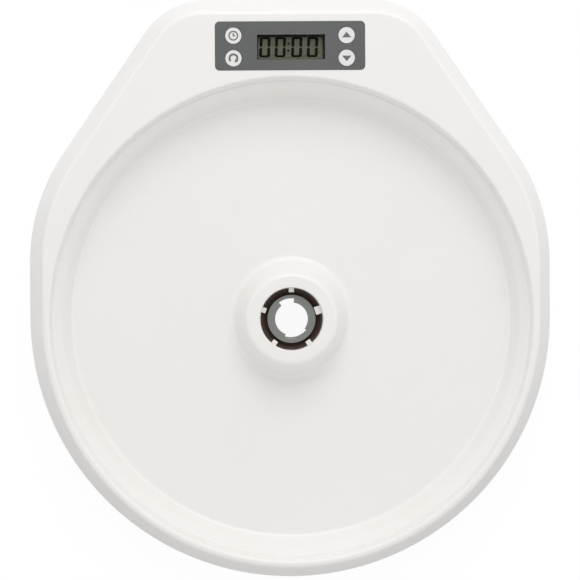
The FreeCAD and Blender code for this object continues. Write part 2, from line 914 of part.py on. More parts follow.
def gearbox_seats(body):
    """Seats for the two axles, a cup round the motor and the four posts of the gearbox plate."""
    seats = new_sketch(body, lift=COVER_TOP + " - root")
    for across, back in AXLES:
        draw_circle(seats, "axle_seat_radius", across, back)
    pad(body, seats, "axle_seat_top + root - (%s)" % COVER_TOP)
    sockets = new_sketch(body, lift="axle_bottom")
    for across, back in AXLES:
        draw_circle(sockets, "axle_radius", across, back)
    pocket(body, sockets, "axle_seat_top", upwards=True)
    cup = new_sketch(body, lift=COVER_TOP + " - root")
    draw_circle(cup, "motor_radius + motor_gap + motor_cup_wall", *TRAIN["motor"])
    draw_circle(cup, "motor_radius + motor_gap", *TRAIN["motor"])
    pad(body, cup, "motor_cup_top + root - (%s)" % COVER_TOP)
    gap = new_sketch(body, lift=COVER_TOP)
    across, back = TRAIN["motor"]
    draw_box(gap, across, back + " - terminal_gap_width / 2",
             across + " + motor_radius + terminal_gap_reach", back + " + terminal_gap_width / 2")
    pocket(body, gap, "motor_cup_top", upwards=True)
    posts = new_sketch(body, lift=COVER_TOP + " - root")
    for across, back in POSTS:
        draw_circle(posts, "post_radius", across, back)
    pad(body, posts, "plate_bottom + root - (%s)" % COVER_TOP)
    pilots = new_sketch(body, lift="plate_bottom")
    for across, back in POSTS:
        draw_circle(pilots, SMALL_PILOT, across, back)
    pocket(body, pilots, "small_screw_length")


def battery_opening(body):
    """Opening for the battery door with its pivot holes, and two bosses for the bay's screws."""
    bosses = new_sketch(body, lift=COVER_TOP + " - root")
    for across, back in BAY_SCREWS:
        draw_circle(bosses, "post_radius", across, back)
    pad(body, bosses, "ear_height + root")
    pilots = new_sketch(body, lift=COVER_TOP + " + ear_height")
    for across, back in BAY_SCREWS:
        draw_circle(pilots, SMALL_PILOT, across, back)
    pocket(body, pilots, "ear_pilot_depth")
    opening = new_sketch(body, lift="skirt_height")
    draw_box(opening, "-bay_half_width", "bay_front", "bay_half_width", "bay_back")
    pocket(body, opening, "cover_thickness + overshoot", upwards=True)
    pivots = new_sketch(body, "YZ_Plane")
    draw_circle(pivots, "hinge_radius + hinge_clearance", "hinge_back", "hinge_height")
    holes = pocket(body, pivots, "2 * (hinge_half_length + hinge_end_gap)")
    holes.Midplane = True


def battery_door():
    """Door over the cells. It swings down on two pins at its front corners."""
    body = new_body("battery_door")
    panel = new_sketch(body, lift="skirt_height")
    draw_box(panel, "-bay_half_width + door_gap", "bay_front + 2 * door_gap",
             "bay_half_width - door_gap", "bay_back - door_gap")
    pad(body, panel, "door_thickness")
    ribs = new_sketch(body, lift="skirt_height + door_thickness - root / 2")
    for step in (-1.5, -0.5, 0.5, 1.5):
        across = "%s * door_rib_spacing" % step
        draw_box(ribs, across + " - door_rib_width / 2", "hinge_back + door_margin",
                 across + " + door_rib_width / 2", "bay_back - door_margin")
    pad(body, ribs, "door_rib_height + root / 2")
    grip = new_sketch(body, lift="skirt_height")
    for step in range(4):
        line = "bay_back - door_margin - %s * grip_spacing" % step
        draw_box(grip, "-grip_width / 2", line + " - grip_line / 2",
                 "grip_width / 2", line + " + grip_line / 2")
    pocket(body, grip, "grip_depth", upwards=True)
    pins = new_sketch(body, "YZ_Plane")
    draw_circle(pins, "hinge_radius", "hinge_back", "hinge_height")
    pin = pad(body, pins, "2 * hinge_half_length")
    pin.Midplane = True
    return body


# ---------------------------------------------------------------- feet and case screws
def rubber_feet():
    pads = []
    for number, (across, back) in enumerate(FEET):
        disc = cylinder("foot_%d" % number, "foot_radius", "foot_height", (across, back, "0"))
        soft = DOC.addObject("Part::Fillet", "soft_foot_%d" % number)
        soft.Base = disc
        DOC.recompute()
        lower = [n + 1 for n, edge in enumerate(disc.Shape.Edges)
                 if isinstance(edge.Curve, Part.Circle) and abs(edge.BoundBox.ZMax) < 0.01]
        soft.Edges = [(edge, size("foot_round"), size("foot_round")) for edge in lower]
        pads.append(soft)
    return node(gathered("rubber_feet_group", pads), "rubber_feet")


def screw(label, spot, head_radius, head_height, radius, length, downwards=False):
    """A pan-head self-tapping screw: spot is the underside of its head. Its thread is left plain."""
    across, back, level = spot
    if downwards:
        head = cylinder(label + "_head", head_radius, head_height, spot)
        shank = cylinder(label + "_shank", radius, length, (across, back, "%s - (%s)" % (level, length)))
        recess_level = "%s + (%s) * (1 - cross_depth_share)" % (level, head_height)
    else:
        head = cylinder(label + "_head", head_radius, head_height,
                        (across, back, "%s - (%s)" % (level, head_height)))
        shank = cylinder(label + "_shank", radius, length, spot)
        recess_level = "%s - (%s)" % (level, head_height)
    whole = joined(label + "_whole", [head, shank])
    depth = "(%s) * cross_depth_share" % head_height
    length = "(%s) * cross_length_share" % head_radius
    slots = joined(label + "_cross", [
        centred_box(label + "_slot_a", across, back, recess_level, length, "cross_width", depth),
        centred_box(label + "_slot_b", across, back, recess_level, "cross_width", length, depth)])
    return trimmed(label, whole, slots)


def housing_screws():
    spots = []
    for number in range(int(size("screw_count"))):
        turn = "(screw_first_angle + %s * 360 / screw_count) * 1 deg" % number
        spots.append(("screw_circle * cos(%s)" % turn, "screw_circle * sin(%s)" % turn))
    for side in ("", "-"):
        spots.append((side + "rear_screw_across", "rear_screw_back"))
    screws = [
        screw("case_screw_%d" % number, (across, back, "skirt_height + counterbore_depth"),
              "screw_head_radius", "screw_head_height", "screw_radius", "screw_length")
        for number, (across, back) in enumerate(spots)]
    return node(gathered("housing_screw_group", screws), "housing_screws")


# ---------------------------------------------------------------- turning collar and tray socket
def drive_tube():
    """Dark collar that turns on the cover's sleeve and carries the tray socket at its top."""
    body = new_body("drive_tube")
    wall = new_sketch(body, "XZ_Plane")
    draw_polygon(wall, [
        ("tube_bore", "tube_bottom"),
        ("tube_radius", "tube_bottom"),
        ("tube_radius", "tube_flange_bottom"),
        ("tube_flange_radius", "tube_flange_bottom"),
        ("tube_flange_radius", "tube_top"),
        ("socket_radius + socket_gap", "tube_top"),
        ("socket_radius + socket_gap", "socket_seat"),
        ("tube_bore", "socket_seat"),
    ])
    turned(body, wall)
    rib = new_sketch(body, lift="tube_bottom")
    draw_box(rib, "tube_radius - root", "-key_rib_width / 2",
             "tube_radius + key_rib_depth", "key_rib_width / 2")
    patterned(body, pad(body, rib, "ring_thickness"), "key_rib_count")
    return body


def tray_socket():
    """Grey bayonet ring: two notches, one with a lead-in, let the tray's lugs in to lock below the ledge."""
    body = new_body("tray_socket")
    ledge = "socket_top - socket_mouth_depth"
    ring = new_sketch(body, "XZ_Plane")
    draw_polygon(ring, [
        ("notch_radius", "socket_seat"),
        ("socket_radius", "socket_seat"),
        ("socket_radius", "socket_top"),
        ("socket_mouth", "socket_top"),
        ("socket_mouth", ledge),
        ("notch_radius", ledge),
    ])
    turned(body, ring)
    for name, reach in (("rear_notch", "notch_radius"), ("front_notch", "notch_radius"),
                        ("lead_in", "lead_in_radius")):
        notch = new_sketch(body, "XZ_Plane")
        draw_box(notch, "socket_mouth - overshoot", "socket_top - socket_mouth_depth",
                 reach, "socket_top + overshoot")
        turn_sketch(notch, name + "_angle", Vector(0, 1, 0))
        cut = feature(body, "Groove", notch, ReferenceAxis=(notch, ["V_Axis"]))
        bind(cut, "Angle", name + "_span")
        DOC.recompute()
    return body


# ---------------------------------------------------------------- gears
PRESSURE_ANGLE = math.radians(20)
ADDENDUM = 0.85
DEDENDUM = 1.2
BACKLASH = 0.22


def involute(angle):
    return math.tan(angle) - angle


def gear_face(teeth, module, phase):
    """Outline of a spur gear with involute flanks. One tooth is centred on the angle phase, in degrees."""
    pitch = module * teeth / 2
    base = pitch * math.cos(PRESSURE_ANGLE)
    tip = pitch + ADDENDUM * module
    root = pitch - DEDENDUM * module
    half_tooth = math.pi / (2 * teeth) - BACKLASH * module / (2 * pitch)

    def flank(radius):
        lean = math.acos(min(1, base / radius))
        return half_tooth + involute(PRESSURE_ANGLE) - involute(lean)

    radii = [root, pitch, tip] if teeth > 20 else [root, max(base, root + 0.05 * module), pitch, tip]
    points = []
    for number in range(teeth):
        middle = math.radians(phase) + 2 * math.pi * number / teeth
        rising = [(radius, middle - flank(radius)) for radius in radii]
        falling = [(radius, middle + flank(radius)) for radius in reversed(radii)]
        points += [Vector(r * math.cos(a), r * math.sin(a), 0) for r, a in rising + falling]
    return Part.Face(Part.makePolygon(points + points[:1]))


def gear_layer(teeth, module, phase, bottom, thickness):
    face = gear_face(int(size(teeth)), size(module), phase)
    face.translate(Vector(0, 0, size(bottom)))
    return face.extrude(Vector(0, 0, size(thickness)))


def baked(shape):
    """The same shape with its turns and moves worked into its geometry, so that its Placement is free."""
    matrix = shape.Placement.toMatrix()
    plain = shape.copy()
    plain.Placement = FreeCAD.Placement()
    return plain.transformed(matrix, True)


def tube(outer, inner, bottom, top):
    """A plain ring of material about the Z axis."""
    height = size(top) - size(bottom)
    base = Vector(0, 0, size(bottom))
    wall = Part.makeCylinder(size(outer), height, base)
    return wall.cut(Part.makeCylinder(size(inner), height, base)) if inner != "0" else wall


def ring_gear():
    """Large gear on the drive tube. A slotted wall on its web is the index vane for the light gate."""
    top = "ring_bottom + ring_thickness"
    web_outer = "ring_module * ring_teeth / 2 - ring_rim"
    web_inner = "tube_radius + ring_hub"
    gear = gear_layer("ring_teeth", "ring_module", 0, "ring_bottom", "ring_thickness")
    gear = gear.cut(tube("tube_radius", "0", "ring_bottom", top))
    gear = gear.cut(tube(web_outer, web_inner, "ring_bottom", "ring_bottom + web_depth"))
    gear = gear.cut(tube(web_outer, web_inner, top + " - web_depth", top))
    for number in range(int(size("key_rib_count"))):
        corner = Vector(size("tube_radius - overshoot"), -size("key_rib_width / 2 + key_slot_gap"),
                        size("ring_bottom"))
        slot = Part.makeBox(size("key_rib_depth + key_slot_gap + overshoot"),
                            size("key_rib_width + 2 * key_slot_gap"), size("ring_thickness"), corner)
        slot.rotate(Vector(0, 0, 0), Vector(0, 0, 1), 360 / size("key_rib_count") * number)
        gear = gear.cut(slot)
    vane = tube("vane_radius + vane_wall", "vane_radius", top + " - web_depth", "vane_top")
    for number in range(int(size("window_count"))):
        corner = Vector(size("vane_radius - overshoot"), -size("index_window_width / 2"),
                        size("vane_top - index_window_height"))
        window = Part.makeBox(size("vane_wall + 2 * overshoot"), size("index_window_width"),
                              size("index_window_height + overshoot"), corner)
        window.rotate(Vector(0, 0, 0), Vector(0, 0, 1), 360 / size("window_count") * number)
        vane = vane.cut(window)
    return shaped("ring_gear", gear.fuse(vane).removeSplitter())


def compound_gear(label, spot, layers, collars):
    """A gear with a large and a small set of teeth, free on its axle. layers and collars stack along it."""
    whole = None
    for layer in [gear_layer(*values) for values in layers] + [tube(*values) for values in collars]:
        whole = layer if whole is None else whole.fuse(layer)
    bottom, top = whole.BoundBox.ZMin, whole.BoundBox.ZMax
    bore = Part.makeCylinder(size("axle_radius + axle_clearance"), top - bottom, Vector(0, 0, bottom))
    return shaped(label, whole.cut(bore).removeSplitter(), spot)


def meshing(teeth):
    """Phase that puts a tooth space of this pinion on the line to the wheel before it."""
    return 180 + 180 / size(teeth)


def gears():
    ring_gear()
    compound_gear("final_gear", TRAIN["final"], [
        ("final_pinion_teeth", "ring_module", meshing("final_pinion_teeth"),
         "train_bottom", "final_pinion_height"),
        ("final_wheel_teeth", "middle_module", 0, "final_wheel_bottom", "final_wheel_height"),
    ], [("final_collar", "0", "final_wheel_bottom + final_wheel_height", "plate_bottom - train_gap")])
    compound_gear("first_gear", TRAIN["first"], [
        ("first_pinion_teeth", "middle_module", meshing("first_pinion_teeth"),
         "first_pinion_bottom", "first_pinion_height"),
        ("first_wheel_teeth", "first_module", size("train_angle"),
         "first_wheel_bottom", "first_wheel_height"),
    ], [
        ("first_collar", "0", "train_bottom", "first_pinion_bottom"),
        ("first_collar", "0", "first_wheel_bottom + first_wheel_height", "plate_bottom - train_gap"),
    ])
    phase = size("train_angle") + meshing("motor_pinion_teeth")
    pinion = gear_layer("motor_pinion_teeth", "first_module", phase,
                        "motor_pinion_bottom", "motor_pinion_height")
    pinion = pinion.cut(tube("motor_shaft_radius", "0", "motor_pinion_bottom",
                             "motor_pinion_bottom + motor_pinion_height"))
    shaped("motor_pinion", pinion, TRAIN["motor"])


def gear_axles():
    length = "axle_top - axle_bottom"
    pins = [cylinder("axle_%d" % number, "axle_radius", length, (across, back, "axle_bottom"))
            for number, (across, back) in enumerate(AXLES)]
    return node(gathered("gear_axle_group", pins), "gear_axles")


def gearbox_plate():
    """Upper plate of the gearbox: it holds the tops of the axles and the light gate's board."""
    body = new_body("gearbox_plate")
    sheet = new_sketch(body, lift="plate_bottom")
    draw_rounded_box(sheet, "(plate_left + plate_right) / 2", "0", "plate_right - plate_left",
                     "2 * plate_half_depth", "plate_corner")
    pad(body, sheet, "plate_thickness")
    holes = new_sketch(body, lift="plate_bottom")
    draw_circle(holes, "plate_hub_hole")
    for across, back in POSTS:
        draw_circle(holes, "board_screw_radius + through_gap", across, back)
    draw_circle(holes, "plate_motor_hole", *TRAIN["motor"])
    pocket(body, holes, "plate_thickness + overshoot", upwards=True)
    sockets = new_sketch(body, lift="plate_bottom")
    for across, back in AXLES:
        draw_circle(sockets, "axle_radius", across, back)
    pocket(body, sockets, "axle_top - plate_bottom", upwards=True)
    return body


def gearbox_screws():
    screws = [
        screw("gearbox_screw_%d" % number, (across, back, "plate_bottom + plate_thickness"),
              "small_head_radius", "low_head_height", "board_screw_radius", "small_screw_length",
              downwards=True)
        for number, (across, back) in enumerate(POSTS)]
    return node(gathered("gearbox_screw_group", screws), "gearbox_screws")


# ---------------------------------------------------------------- motor
def motor():
    """Flat direct-current motor: steel can, plastic end cap with two terminals, and its shaft."""
    across, back = TRAIN["motor"]
    cap_top = "motor_bottom + cap_thickness"
    can_height = "motor_top - motor_bottom - cap_thickness"
    can = joined("can_whole", [
        cylinder("can_wall_tube", "motor_radius", can_height, (across, back, cap_top)),
        cylinder("can_boss", "can_boss_radius", "can_boss_height + root",
                 (across, back, "motor_top - root"))])
    inside = joined("can_inside", [
        cylinder("can_void", "motor_radius - can_wall", can_height + " - can_wall", (across, back, cap_top)),
        cylinder("can_hole", "motor_shaft_radius + shaft_gap", "motor_shaft_top", (across, back, cap_top))])
    node(trimmed("motor_can_cut", can, inside), "motor_can")
    cap = [cylinder("cap_disc", "motor_radius - cap_inset", "cap_thickness", (across, back, "motor_bottom"))]
    for name, side in (("a", "+"), ("b", "-")):
        cap.append(centred_box(
            "terminal_" + name, across + " + terminal_inner + terminal_length / 2",
            back + " %s terminal_across" % side, "motor_bottom + terminal_lift",
            "terminal_length", "terminal_width", "terminal_thickness"))
    cap_hole = cylinder("cap_hole", "motor_shaft_radius + shaft_gap", "cap_thickness",
                        (across, back, "motor_bottom + cap_thickness / 2"))
    node(trimmed("motor_cap_cut", joined("cap_whole", cap), cap_hole), "motor_cap")
    body = new_body("motor_shaft")
    rod = new_sketch(body, lift="motor_bottom + cap_thickness / 2")
    draw_circle(rod, "motor_shaft_radius", across, back)
    pad(body, rod, "motor_shaft_top - motor_bottom - cap_thickness / 2")


# ---------------------------------------------------------------- light gate
def light_gate():
    """Forked light gate over the index vane, on a small board under the gearbox plate."""
    body = new_body("position_sensor")
    fork = new_sketch(body, "XZ_Plane")
    inner = "vane_radius - gate_slot"
    outer = "vane_radius + vane_wall + gate_slot"
    roof = "plate_bottom - gate_board_thickness"
    draw_polygon(fork, [
        (inner + " - gate_jaw", "gate_bottom"),
        (inner, "gate_bottom"),
        (inner, "vane_top + gate_roof_gap"),
        (outer, "vane_top + gate_roof_gap"),
        (outer, "gate_bottom"),
        (outer + " + gate_jaw", "gate_bottom"),
        (outer + " + gate_jaw", roof),
        (inner + " - gate_jaw", roof),
    ])
    turn_sketch(fork, "sensor_angle", Vector(0, 1, 0))
    fork_pad = pad(body, fork, "gate_width")
    fork_pad.Midplane = True
    board = new_body("sensor_board")
    sheet = new_sketch(board, lift=roof)
    draw_box(sheet, "gate_board_inner", "-gate_board_width / 2", "gate_board_outer", "gate_board_width / 2")
    turn_sketch(sheet, "sensor_angle")
    pad(board, sheet, "gate_board_thickness")


# ---------------------------------------------------------------- control panel
def panel_overlay():
    """Grey polycarbonate film round the display window and the buttons."""
    body = new_body("panel_overlay")
    film = new_sketch(body, lift="rim_height - seat_depth")
    draw_rounded_box(film, "0", "panel_back", "panel_width", "panel_depth", "panel_corner")
    pad(body, film, "overlay_thickness")
    holes = new_sketch(body, lift="rim_height - seat_depth")
    display_window(holes)
    button_circles(holes, "button_radius + button_gap")
    pocket(body, holes, "overlay_thickness + overshoot", upwards=True)
    return body


BUTTON_TOP = "rim_height - seat_depth + overlay_thickness + button_proud"
FLANGE_TOP = PLATE_UNDERSIDE + " - flange_gap"
FLANGE_BOTTOM = FLANGE_TOP + " - flange_thickness"


def buttons():
    """Four keys: each has a flange that keeps it in the housing, and presses the plunger of its switch."""
    for name, (across, back) in BUTTONS.items():
        body = new_body("button_" + name)
        flange = new_sketch(body, lift=FLANGE_BOTTOM)
        draw_circle(flange, "button_radius + flange_width", across, back)
        pad(body, flange, "flange_thickness")
        cap = new_sketch(body, lift=FLANGE_TOP)
        draw_circle(cap, "button_radius", across, back)
        pad(body, cap, "(%s) - (%s)" % (BUTTON_TOP, FLANGE_TOP))
        DOC.recompute()
        top_edge = [
            "Edge%d" % (number + 1) for number, edge in enumerate(body.Shape.Edges)
            if is_ring(edge, size("button_radius")) and abs(edge.Curve.Center.z - size(BUTTON_TOP)) < 0.01]
        rounded(body, top_edge, "button_round")
        plunger = new_body("plunger_" + name)
        stem = new_sketch(plunger, lift=BOARD_TOP + " + plunger_lift")
        draw_circle(stem, "plunger_radius", across, back)
        pad(plunger, stem, "(%s) - (%s + plunger_lift)" % (FLANGE_BOTTOM, BOARD_TOP))


def tact_switches():
    bodies = []
    for name, (across, back) in BUTTONS.items():
        case = centred_box("switch_" + name, across, back, BOARD_TOP,
                           "switch_side", "switch_side", "switch_height")
        well = cylinder("well_" + name, "switch_well_radius", "switch_height",
                        (across, back, BOARD_TOP + " + switch_well_floor"))
        bodies.append(trimmed("tact_" + name, case, well))
    return node(gathered("tact_switch_group", bodies), "tact_switches")


def display():
    """Display glass in its holder, on two rubber contact strips, under a clear window."""
    middle = ("window_across", "window_back")
    body = new_body("lcd_glass")
    glass = new_sketch(body, lift=BOARD_TOP + " + strip_height")
    draw_box(glass, "window_across - glass_width / 2", "window_back - glass_depth / 2",
             "window_across + glass_width / 2", "window_back + glass_depth / 2")
    pad(body, glass, "glass_thickness")
    frame = centred_box("holder_block", *middle, BOARD_TOP, "holder_width", "holder_depth", "holder_height")
    void = centred_box("holder_void", *middle, BOARD_TOP, "glass_width + 2 * glass_gap",
                       "glass_depth + 2 * glass_gap", "holder_height + overshoot")
    node(trimmed("lcd_holder_cut", frame, void), "lcd_holder")
    strips = [
        centred_box("strip_" + name, "window_across", "window_back %s strip_back" % side, BOARD_TOP,
                    "strip_length", "strip_width", "strip_height")
        for name, side in (("front", "-"), ("rear", "+"))]
    node(gathered("zebra_strip_group", strips), "zebra_strips")
    pane = new_body("lcd_window")
    clear = new_sketch(pane, lift=PLATE_UNDERSIDE + " - pane_thickness")
    draw_rounded_box(clear, *middle, "window_width + 2 * pane_margin", "window_depth + 2 * pane_margin",
                     "pane_corner")
    pad(pane, clear, "pane_thickness")


ROUND_COMPONENTS = [
    # name, across, back, radius, height
    ("large_capacitor", "-22", "168", "3.1", "7"),
    ("small_capacitor", "-22", "158", "2.5", "6"),
]
SQUARE_COMPONENTS = [
    # name, across, back, width, depth, height
    ("crystal", "18", "170", "10", "4.4", "3.4"),
    ("driver_chip", "24", "158", "6", "5", "1.6"),
    ("battery_plug", "-38", "164", "5", "8", "plug_height"),
    ("motor_plug", "38", "160", "5", "6", "plug_height"),
    ("sensor_plug", "38", "170", "5", "7.5", "plug_height"),
]


def control_board():
    """Printed circuit board on the four posts, its parts on the underside, and the screws that hold it."""
    body = new_body("control_board")
    sheet = new_sketch(body, lift="board_bottom")
    draw_box(sheet, "-board_half_width", "board_front", "board_half_width", "board_back")
    pad(body, sheet, "board_thickness")
    holes = new_sketch(body, lift="board_bottom")
    for across, back in board_post_spots():
        draw_circle(holes, "board_screw_radius + through_gap", across, back)
    pocket(body, holes, "board_thickness + overshoot", upwards=True)
    chip = new_body("controller_chip")
    block = new_sketch(chip, lift="board_bottom - chip_height")
    draw_rounded_box(block, "chip_across", "chip_back", "chip_side", "chip_side", "chip_corner")
    pad(chip, block, "chip_height")
    parts = [
        cylinder(name, radius, height, (across, back, "board_bottom - " + height))
        for name, across, back, radius, height in ROUND_COMPONENTS]
    parts += [
        centred_box(name, across, back, "board_bottom - " + height, width, depth, height)
        for name, across, back, width, depth, height in SQUARE_COMPONENTS]
    for step in range(int(size("resistor_count"))):
        across = "resistor_across + %d * resistor_spacing" % step
        parts.append(centred_box("resistor_%d" % step, across, "resistor_back",
                                 "board_bottom - resistor_height",
                                 "resistor_width", "resistor_length", "resistor_height"))
    node(gathered("board_component_group", parts), "board_components")
    screws = [
        screw("board_screw_%d" % number, (across, back, "board_bottom"), "small_head_radius",
              "small_head_height", "board_screw_radius", "small_screw_length")
        for number, (across, back) in enumerate(board_post_spots())]
    node(gathered("board_screw_group", screws), "board_screws")


# ---------------------------------------------------------------- batteries
def battery_bay():
    """Open-bottomed box over the cells, with an ear and a screw at each end."""
    width = "2 * (bay_half_width + bay_gap)"
    depth = "bay_back - bay_front + 2 * bay_gap"
    outer = centred_box("bay_outer", "0", BAY_MIDDLE, COVER_TOP, width + " + 2 * bay_wall",
                        depth + " + 2 * bay_wall", "bay_roof + bay_wall - (%s)" % COVER_TOP)
    ears = centred_box("bay_ears", "0", BAY_MIDDLE, COVER_TOP + " + ear_height", "2 * ear_across + ear_width",
                       "ear_width", "ear_thickness")
    tools = [centred_box("bay_inner", "0", BAY_MIDDLE, "skirt_height", width, depth,
                         "bay_roof - skirt_height")]
    for number, (across, back) in enumerate(BAY_SCREWS):
        tools.append(cylinder("ear_hole_%d" % number, "board_screw_radius + through_gap", "ear_thickness",
                              (across, back, COVER_TOP + " + ear_height")))
    whole = joined("bay_whole", [outer, ears])
    node(trimmed("battery_bay_cut", whole, joined("bay_tools", tools)), "battery_bay")
    screws = [
        screw("bay_screw_%d" % number, (across, back, COVER_TOP + " + ear_height + ear_thickness"),
              "small_head_radius", "small_head_height", "board_screw_radius", "ear_screw_length",
              downwards=True)
        for number, (across, back) in enumerate(BAY_SCREWS)]
    node(gathered("bay_screw_group", screws), "bay_screws")


def cells_and_contacts():
    """Four cells in two rows of two. Each row has a plate at both ends and a spring at its negative one."""
    cells = []
    plates = {}
    wall = "bay_half_width + bay_gap"
    whole_cell = "cell_length + nub_length"
    for name, back, side in (("front", "front_cell_back", "+"), ("rear", "rear_cell_back", "-")):
        forward = side == "+"
        for half, start in (("left", "-(%s)" % whole_cell), ("right", "0")):
            can_start = start if forward else start + " + nub_length"
            nub_start = start + " + cell_length" if forward else start
            cells.append(joined("cell_%s_%s" % (name, half), [
                lying_cylinder("can_%s_%s" % (name, half), "cell_radius", "cell_length",
                               (can_start, back, "cell_height")),
                lying_cylinder("nub_%s_%s" % (name, half), "nub_radius", "nub_length",
                               (nub_start, back, "cell_height"))]))
        bump_start = whole_cell if forward else "contact_thickness - (%s)" % wall
        bump_length = "%s - contact_thickness - (%s)" % (wall, whole_cell)
        bump = lying_cylinder("bump_" + name, "bump_radius", bump_length, (bump_start, back, "cell_height"))
        for end in ("+", "-"):
            plate = centred_box("plate_%s_%s" % (name, "right" if end == "+" else "left"),
                                "%s(%s - contact_thickness / 2)" % (end, wall), back, "contact_bottom",
                                "contact_thickness", "contact_width", "contact_height")
            plates[name + end] = joined("plus_plate_" + name, [plate, bump]) if end == side else plate
    bridge = centred_box("bridge", wall + " - contact_thickness / 2",
                         "(front_cell_back + rear_cell_back) / 2",
                         "cell_height - bridge_height / 2", "contact_thickness",
                         "rear_cell_back - front_cell_back", "bridge_height")
    series = joined("series_link", [plates["front+"], plates["rear+"], bridge])
    node(gathered("cell_group", cells), "battery_cells")
    node(gathered("contact_plate_group", [series, plates["front-"], plates["rear-"]]), "contact_plates")
    contact_spring("front_spring", "front_cell_back", -1)
    contact_spring("rear_spring", "rear_cell_back", 1)


def contact_spring(label, back, side):
    """A short coil of round wire between the end plate at the given side (1 or -1) and the cell."""
    gap = size("bay_half_width + bay_gap - contact_thickness - cell_length - nub_length")
    wire = size("spring_wire")
    height = gap - 2 * wire
    helix = Part.makeHelix(height / 3, height, size("spring_radius"))
    profile = Part.Wire(Part.makeCircle(wire, helix.Vertexes[0].Point, Vector(0, 1, 0)))
    coil = Part.Wire(helix.Edges).makePipeShell([profile], True, True)
    coil.rotate(Vector(0, 0, 0), Vector(0, 1, 0), -90 * side)
    start = size("cell_length + nub_length") + gap - wire
    coil.translate(Vector(side * start, size(back), size("cell_height")))
    return shaped(label, baked(coil))


# ---------------------------------------------------------------- internal leads
def lead_path(points):
    """Straight runs joined by tangent arcs, each arc as large as its two runs allow."""
    edges = []
    here = points[0]
    for before, corner, after in zip(points, points[1:], points[2:]):
        arriving, leaving = corner - before, after - corner
        setback = 0.45 * min(arriving.Length, leaving.Length)
        half_turn = arriving.getAngle(leaving) / 2
        arriving.normalize()
        leaving.normalize()
        inward = leaving - arriving
        inward.normalize()
        radius = setback / math.tan(half_turn)
        middle = corner + inward * (radius / math.cos(half_turn) - radius)
        start, end = corner - arriving * setback, corner + leaving * setback
        edges.append(Part.LineSegment(here, start).toShape())
        edges.append(Part.Arc(start, middle, end).toShape())
        here = end
    edges.append(Part.LineSegment(here, points[-1]).toShape())
    return Part.Wire(edges)


def lead(label, radius, stops):
    """An insulated lead through stops, from its solder joint to its plug on the control board."""
    points = [Vector(*(size(value) for value in stop)) for stop in stops]
    path = lead_path(points)
    section = Part.Wire(Part.makeCircle(size(radius), points[0], points[1] - points[0]))
    solid = path.makePipeShell([section], True, False)
    expected = math.pi * size(radius) ** 2 * path.Length
    if abs(solid.Volume - expected) > 0.01 * expected:
        raise RuntimeError(label + " isn't a clean tube")
    shaped(label, solid)


def leads():
    """Leads from the cells, the motor and the light gate to the plugs under the control board."""
    outside = "-bay_half_width - bay_gap - bay_wall"
    lead("battery_lead_black", "lead_radius", [
        (outside, "front_cell_back", "cell_height"), ("-66.5", "front_cell_back", "cell_height"),
        ("-68", "146", "22"), ("-52", "158.5", "26"), ("-38", "162", "27"), ("-38", "162", PLUG_BOTTOM)])
    lead("battery_lead_red", "lead_radius", [
        (outside, "149", "cell_height"), ("-67", "149", "cell_height"),
        ("-67.5", "152.5", "24"), ("-52", "163", "27"), ("-38", "166", "27"), ("-38", "166", PLUG_BOTTOM)])
    tab = TRAIN["motor"][0] + " + terminal_inner + terminal_length"
    tab_height = "motor_bottom + terminal_lift + terminal_thickness / 2"
    lead("motor_lead_red", "lead_radius", [
        (tab, TRAIN["motor"][1] + " + terminal_across", tab_height),
        ("95", TRAIN["motor"][1] + " + terminal_across", tab_height),
        ("101", "-4", "11"), ("103", "14", "14"), ("99", "36", "15"), ("93", "58", "15.4"),
        ("86", "84", "15"), ("80", "108", "16"), ("74", "128", "17"), ("68", "143", "22"),
        ("54", "154", "26.5"), ("38", "158.5", "27"), ("38", "158.5", PLUG_BOTTOM)])
    lead("motor_lead_black", "lead_radius", [
        (tab, TRAIN["motor"][1] + " - terminal_across", tab_height),
        ("97.5", TRAIN["motor"][1] + " - terminal_across", tab_height),
        ("104", "-6", "12"), ("105.5", "14", "17"), ("101", "36", "18"), ("94.5", "58", "18.4"),
        ("88", "84", "18"), ("82.5", "108", "19"), ("77", "128", "20"), ("71.5", "144", "25"),
        ("55", "159.5", "29"), ("38", "161.5", "27"), ("38", "161.5", PLUG_BOTTOM)])
    gate_across = "gate_lead_radius * cos(sensor_angle * 1 deg)"
    gate_back = "gate_lead_radius * sin(sensor_angle * 1 deg)"
    lead("sensor_cable", "cable_radius", [
        (gate_across, gate_back, "plate_bottom - gate_board_thickness"),
        (gate_across, gate_back, "gate_bottom"), ("21", "48", "12.6"), ("26", "74", "12"),
        ("40", "98", "12"), ("57", "114", "13"), ("67", "128", "15.5"), ("65", "143", "19.5"),
        ("56", "152.5", "23"), ("47", "165", "25.5"), ("38", "170", "26"), ("38", "170", PLUG_BOTTOM)])


# ---------------------------------------------------------------- the whole base
def build():
    upper_housing()
    bottom_cover()
    battery_door()
    rubber_feet()
    housing_screws()
    drive_tube()
    tray_socket()
    gears()
    gear_axles()
    gearbox_plate()
    gearbox_screws()
    motor()
    light_gate()
    panel_overlay()
    buttons()
    tact_switches()
    display()
    control_board()
    battery_bay()
    cells_and_contacts()
    leads()
    DOC.recompute()


def check():
    """Stops if any object failed, or if a sub-part has no sound shape."""
    for thing in DOC.Objects:
        if "Invalid" in thing.State or "Error" in thing.State:
            raise RuntimeError("%s (%s) failed: %s" % (thing.Label, thing.TypeId, thing.State))
    for item in NODES:
        if item.Shape.isNull() or not item.Shape.isValid():
            raise RuntimeError(item.Label + " has no sound shape")


